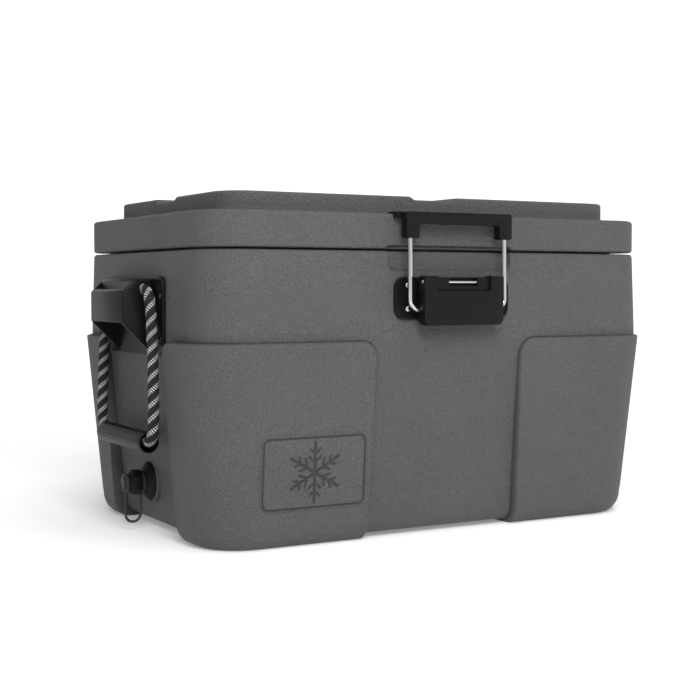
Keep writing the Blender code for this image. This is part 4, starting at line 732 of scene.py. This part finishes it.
# ---------------------------------------------------------------- rope handles
# A braided black rope with pale flecks in a spiral, 14 mm thick, threaded through each bracket and
# through the grip tube below it. Both ends meet inside the tube.
cord_finish = bpy.data.materials.new("rope")
cord_finish.use_nodes = True
tree = cord_finish.node_tree
shader = tree.nodes["Principled BSDF"]
shader.inputs["Roughness"].default_value = 0.85
shader.inputs["Specular IOR Level"].default_value = 0.25
wrap = tree.nodes.new("ShaderNodeUVMap")
wrap.uv_map = "wrap"
parts = tree.nodes.new("ShaderNodeSeparateXYZ")
tree.links.new(wrap.outputs["UV"], parts.inputs[0])
waves = []
for pitch, starts, low_level, high_level in ((0.0177, -2.0, 0.15, 0.45), (0.0040, 9.0, -0.15, 0.45)):
    length = tree.nodes.new("ShaderNodeMath")
    length.operation = "MULTIPLY"
    length.inputs[1].default_value = 2 * math.pi / pitch
    round_it = tree.nodes.new("ShaderNodeMath")
    round_it.operation = "MULTIPLY_ADD"
    round_it.inputs[1].default_value = 2 * math.pi * starts
    wave = tree.nodes.new("ShaderNodeMath")
    wave.operation = "SINE"
    level = tree.nodes.new("ShaderNodeMapRange")
    level.inputs["From Min"].default_value = low_level
    level.inputs["From Max"].default_value = high_level
    tree.links.new(parts.outputs["X"], length.inputs[0])
    tree.links.new(parts.outputs["Y"], round_it.inputs[0])
    tree.links.new(length.outputs[0], round_it.inputs[2])
    tree.links.new(round_it.outputs[0], wave.inputs[0])
    tree.links.new(wave.outputs[0], level.inputs["Value"])
    waves.append(level)
fleck = tree.nodes.new("ShaderNodeMath")
fleck.operation = "MULTIPLY"
tree.links.new(waves[0].outputs["Result"], fleck.inputs[0])
tree.links.new(waves[1].outputs["Result"], fleck.inputs[1])
dye = tree.nodes.new("ShaderNodeMix")
dye.data_type = "RGBA"
dye.inputs["A"].default_value = (0.012, 0.012, 0.0125, 1.0)
dye.inputs["B"].default_value = (0.46, 0.46, 0.455, 1.0)
tree.links.new(fleck.outputs[0], dye.inputs["Factor"])
tree.links.new(dye.outputs["Result"], shader.inputs["Base Color"])
# Half of the loop, as places across and up, from the middle of the bracket to the middle of the tube.
bracket_z, grip_z, drop, rope_x, hang_out = 0.3290, 0.1290, 0.2000, 0.3652, 0.0030
route = np.array([
    (0.0000, bracket_z), (0.0300, bracket_z), (0.0580, bracket_z), (0.0680, 0.3272), (0.0765, 0.3218),
    (0.0830, 0.3110), (0.0885, 0.2850), (0.0935, 0.2450), (0.0970, 0.2050), (0.0983, 0.1700),
    (0.0975, 0.1500), (0.0940, 0.1385), (0.0865, 0.1312), (0.0750, grip_z), (0.0400, grip_z),
    (0.0015, grip_z),
])
half_lean = hang_out * (bracket_z - route[:, 1]) / drop
thin, plaited, strands, lay, turns_a_lay = 0.00680, 0.00040, 8, 0.0072, 7.0
n_rings, n_round = 640, 64
for side, sign in (("left", -1), ("right", 1)):
    low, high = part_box(side + "_rope")
    mid_y = (low.y + high.y) / 2
    half_way = np.stack([sign * (rope_x + half_lean), route[:, 0], route[:, 1]], -1)
    knots = np.concatenate([half_way[:0:-1], half_way * [1, -1, 1]])
    knots = np.concatenate([[2 * knots[0] - knots[1]], knots, [2 * knots[-1] - knots[-2]]])
    # A smooth line through the knots: a cubic between each two, from them and their two neighbours.
    t = np.linspace(0.0, 1.0, 24, endpoint=False)[:, None]
    a, b, c, d = knots[:-3, None], knots[1:-2, None], knots[2:-1, None], knots[3:, None]
    line = 0.5 * (
        2 * b + (c - a) * t + (2 * a - 5 * b + 4 * c - d) * t ** 2 + (3 * b - a - 3 * c + d) * t ** 3
    )
    line = np.concatenate([line.reshape(-1, 3), knots[-2:-1]])
    walked = np.concatenate([[0.0], np.cumsum(np.linalg.norm(np.diff(line, axis=0), axis=1))])
    station = np.linspace(0.0, walked[-1], n_rings)
    line = np.stack([np.interp(station, walked, line[:, k]) for k in range(3)], -1)
    ahead = np.gradient(line, axis=0)
    ahead /= np.linalg.norm(ahead, axis=1, keepdims=True)
    out = np.array([1.0, 0.0, 0.0]) - ahead * ahead[:, :1]
    out /= np.linalg.norm(out, axis=1, keepdims=True)
    aside = np.cross(ahead, out)
    # Two sets of strands wind opposite ways, and the higher of the two is what shows.
    turn = np.arange(n_round) / n_round * 2 * np.pi
    over = np.sin(strands * turn + station[:, None] / lay * turns_a_lay)
    under = np.sin(strands * turn - station[:, None] / lay * turns_a_lay)
    size = (thin + plaited * np.maximum(over, under))[..., None]
    spoke = out[:, None] * np.cos(turn)[:, None] + aside[:, None] * np.sin(turn)[:, None]
    rows = line[:, None] + size * spoke
    index = np.arange(n_rings * n_round).reshape(n_rings, n_round)
    faces = ring_faces(index) + [index[0][::-1].tolist(), index[-1].tolist()]
    braid = new_piece(side + "_rope_braid", rows.reshape(-1, 3) + [0.0, mid_y, 0.0], faces, cord_finish)
    # The "wrap" layer: the way along the rope in metres, and the share of a turn round it.
    turned = np.arange(n_round) / n_round
    corners = np.zeros((n_rings - 1, n_round, 4, 2))
    corners[..., 0] = np.stack([station[:-1], station[:-1], station[1:], station[1:]], -1)[:, None]
    corners[..., 1] = np.stack([turned, turned + 1 / n_round, turned + 1 / n_round, turned], -1)
    ends = np.zeros((2 * n_round, 2))
    wrap_layer = braid.data.uv_layers.new(name="wrap")
    wrap_layer.data.foreach_set("uv", np.concatenate([corners.reshape(-1, 2), ends]).ravel())
    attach(braid, side + "_handle")
    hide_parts(side + "_rope")


# ---------------------------------------------------------------- grip tubes
# A ribbed black tube on each rope, 168 mm long, with flared mouths. It turns freely on the rope.
ribs, rib_depth, tube_radius = 18, 0.00036, 0.0140
turn = np.arange(ribs * 10) / (ribs * 10) * 2 * np.pi
wave = np.clip(1.6 * np.cos(turn * ribs), -1.0, 1.0)
# Half of the tube's profile, from deep in its flared mouth out over the lip to the middle.
half_along = np.array([0.0640, 0.0838, 0.0840, 0.0837, 0.0830, 0.0818, 0.0700])
half_wide = np.array([0.0089, 0.0126, 0.0129, 0.0132, 0.0137, tube_radius, tube_radius])
half_ribbed = np.array([0.0, 0.0, 0.0, 0.2, 0.6, 1.0, 1.0])
along = np.concatenate([-half_along, [0.0], half_along[::-1]])
wide = np.concatenate([half_wide, [tube_radius], half_wide[::-1]])
ribbed = np.concatenate([half_ribbed, [1.0], half_ribbed[::-1]])
for side in ("left", "right"):
    low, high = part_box(side + "_grip")
    centre = (low + high) / 2
    size = wide[:, None] - rib_depth / 2 * ribbed[:, None] * (1 - wave)
    rows = np.stack([
        centre.x + size * np.cos(turn),
        np.broadcast_to(centre.y + along[:, None], size.shape),
        centre.z + size * np.sin(turn),
    ], -1)
    n_rows, n_round = rows.shape[:2]
    index = np.arange(n_rows * n_round).reshape(n_rows, n_round)
    around, on = np.roll(index, -1, 1), np.roll(index, -1, 0)
    both = np.roll(on, -1, 1)
    faces = np.stack([index, on, both, around], -1).reshape(-1, 4).tolist()
    grip = new_piece(side + "_grip_tube", rows.reshape(-1, 3), faces, black)
    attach(grip, side + "_grip")
    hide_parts(side + "_grip")
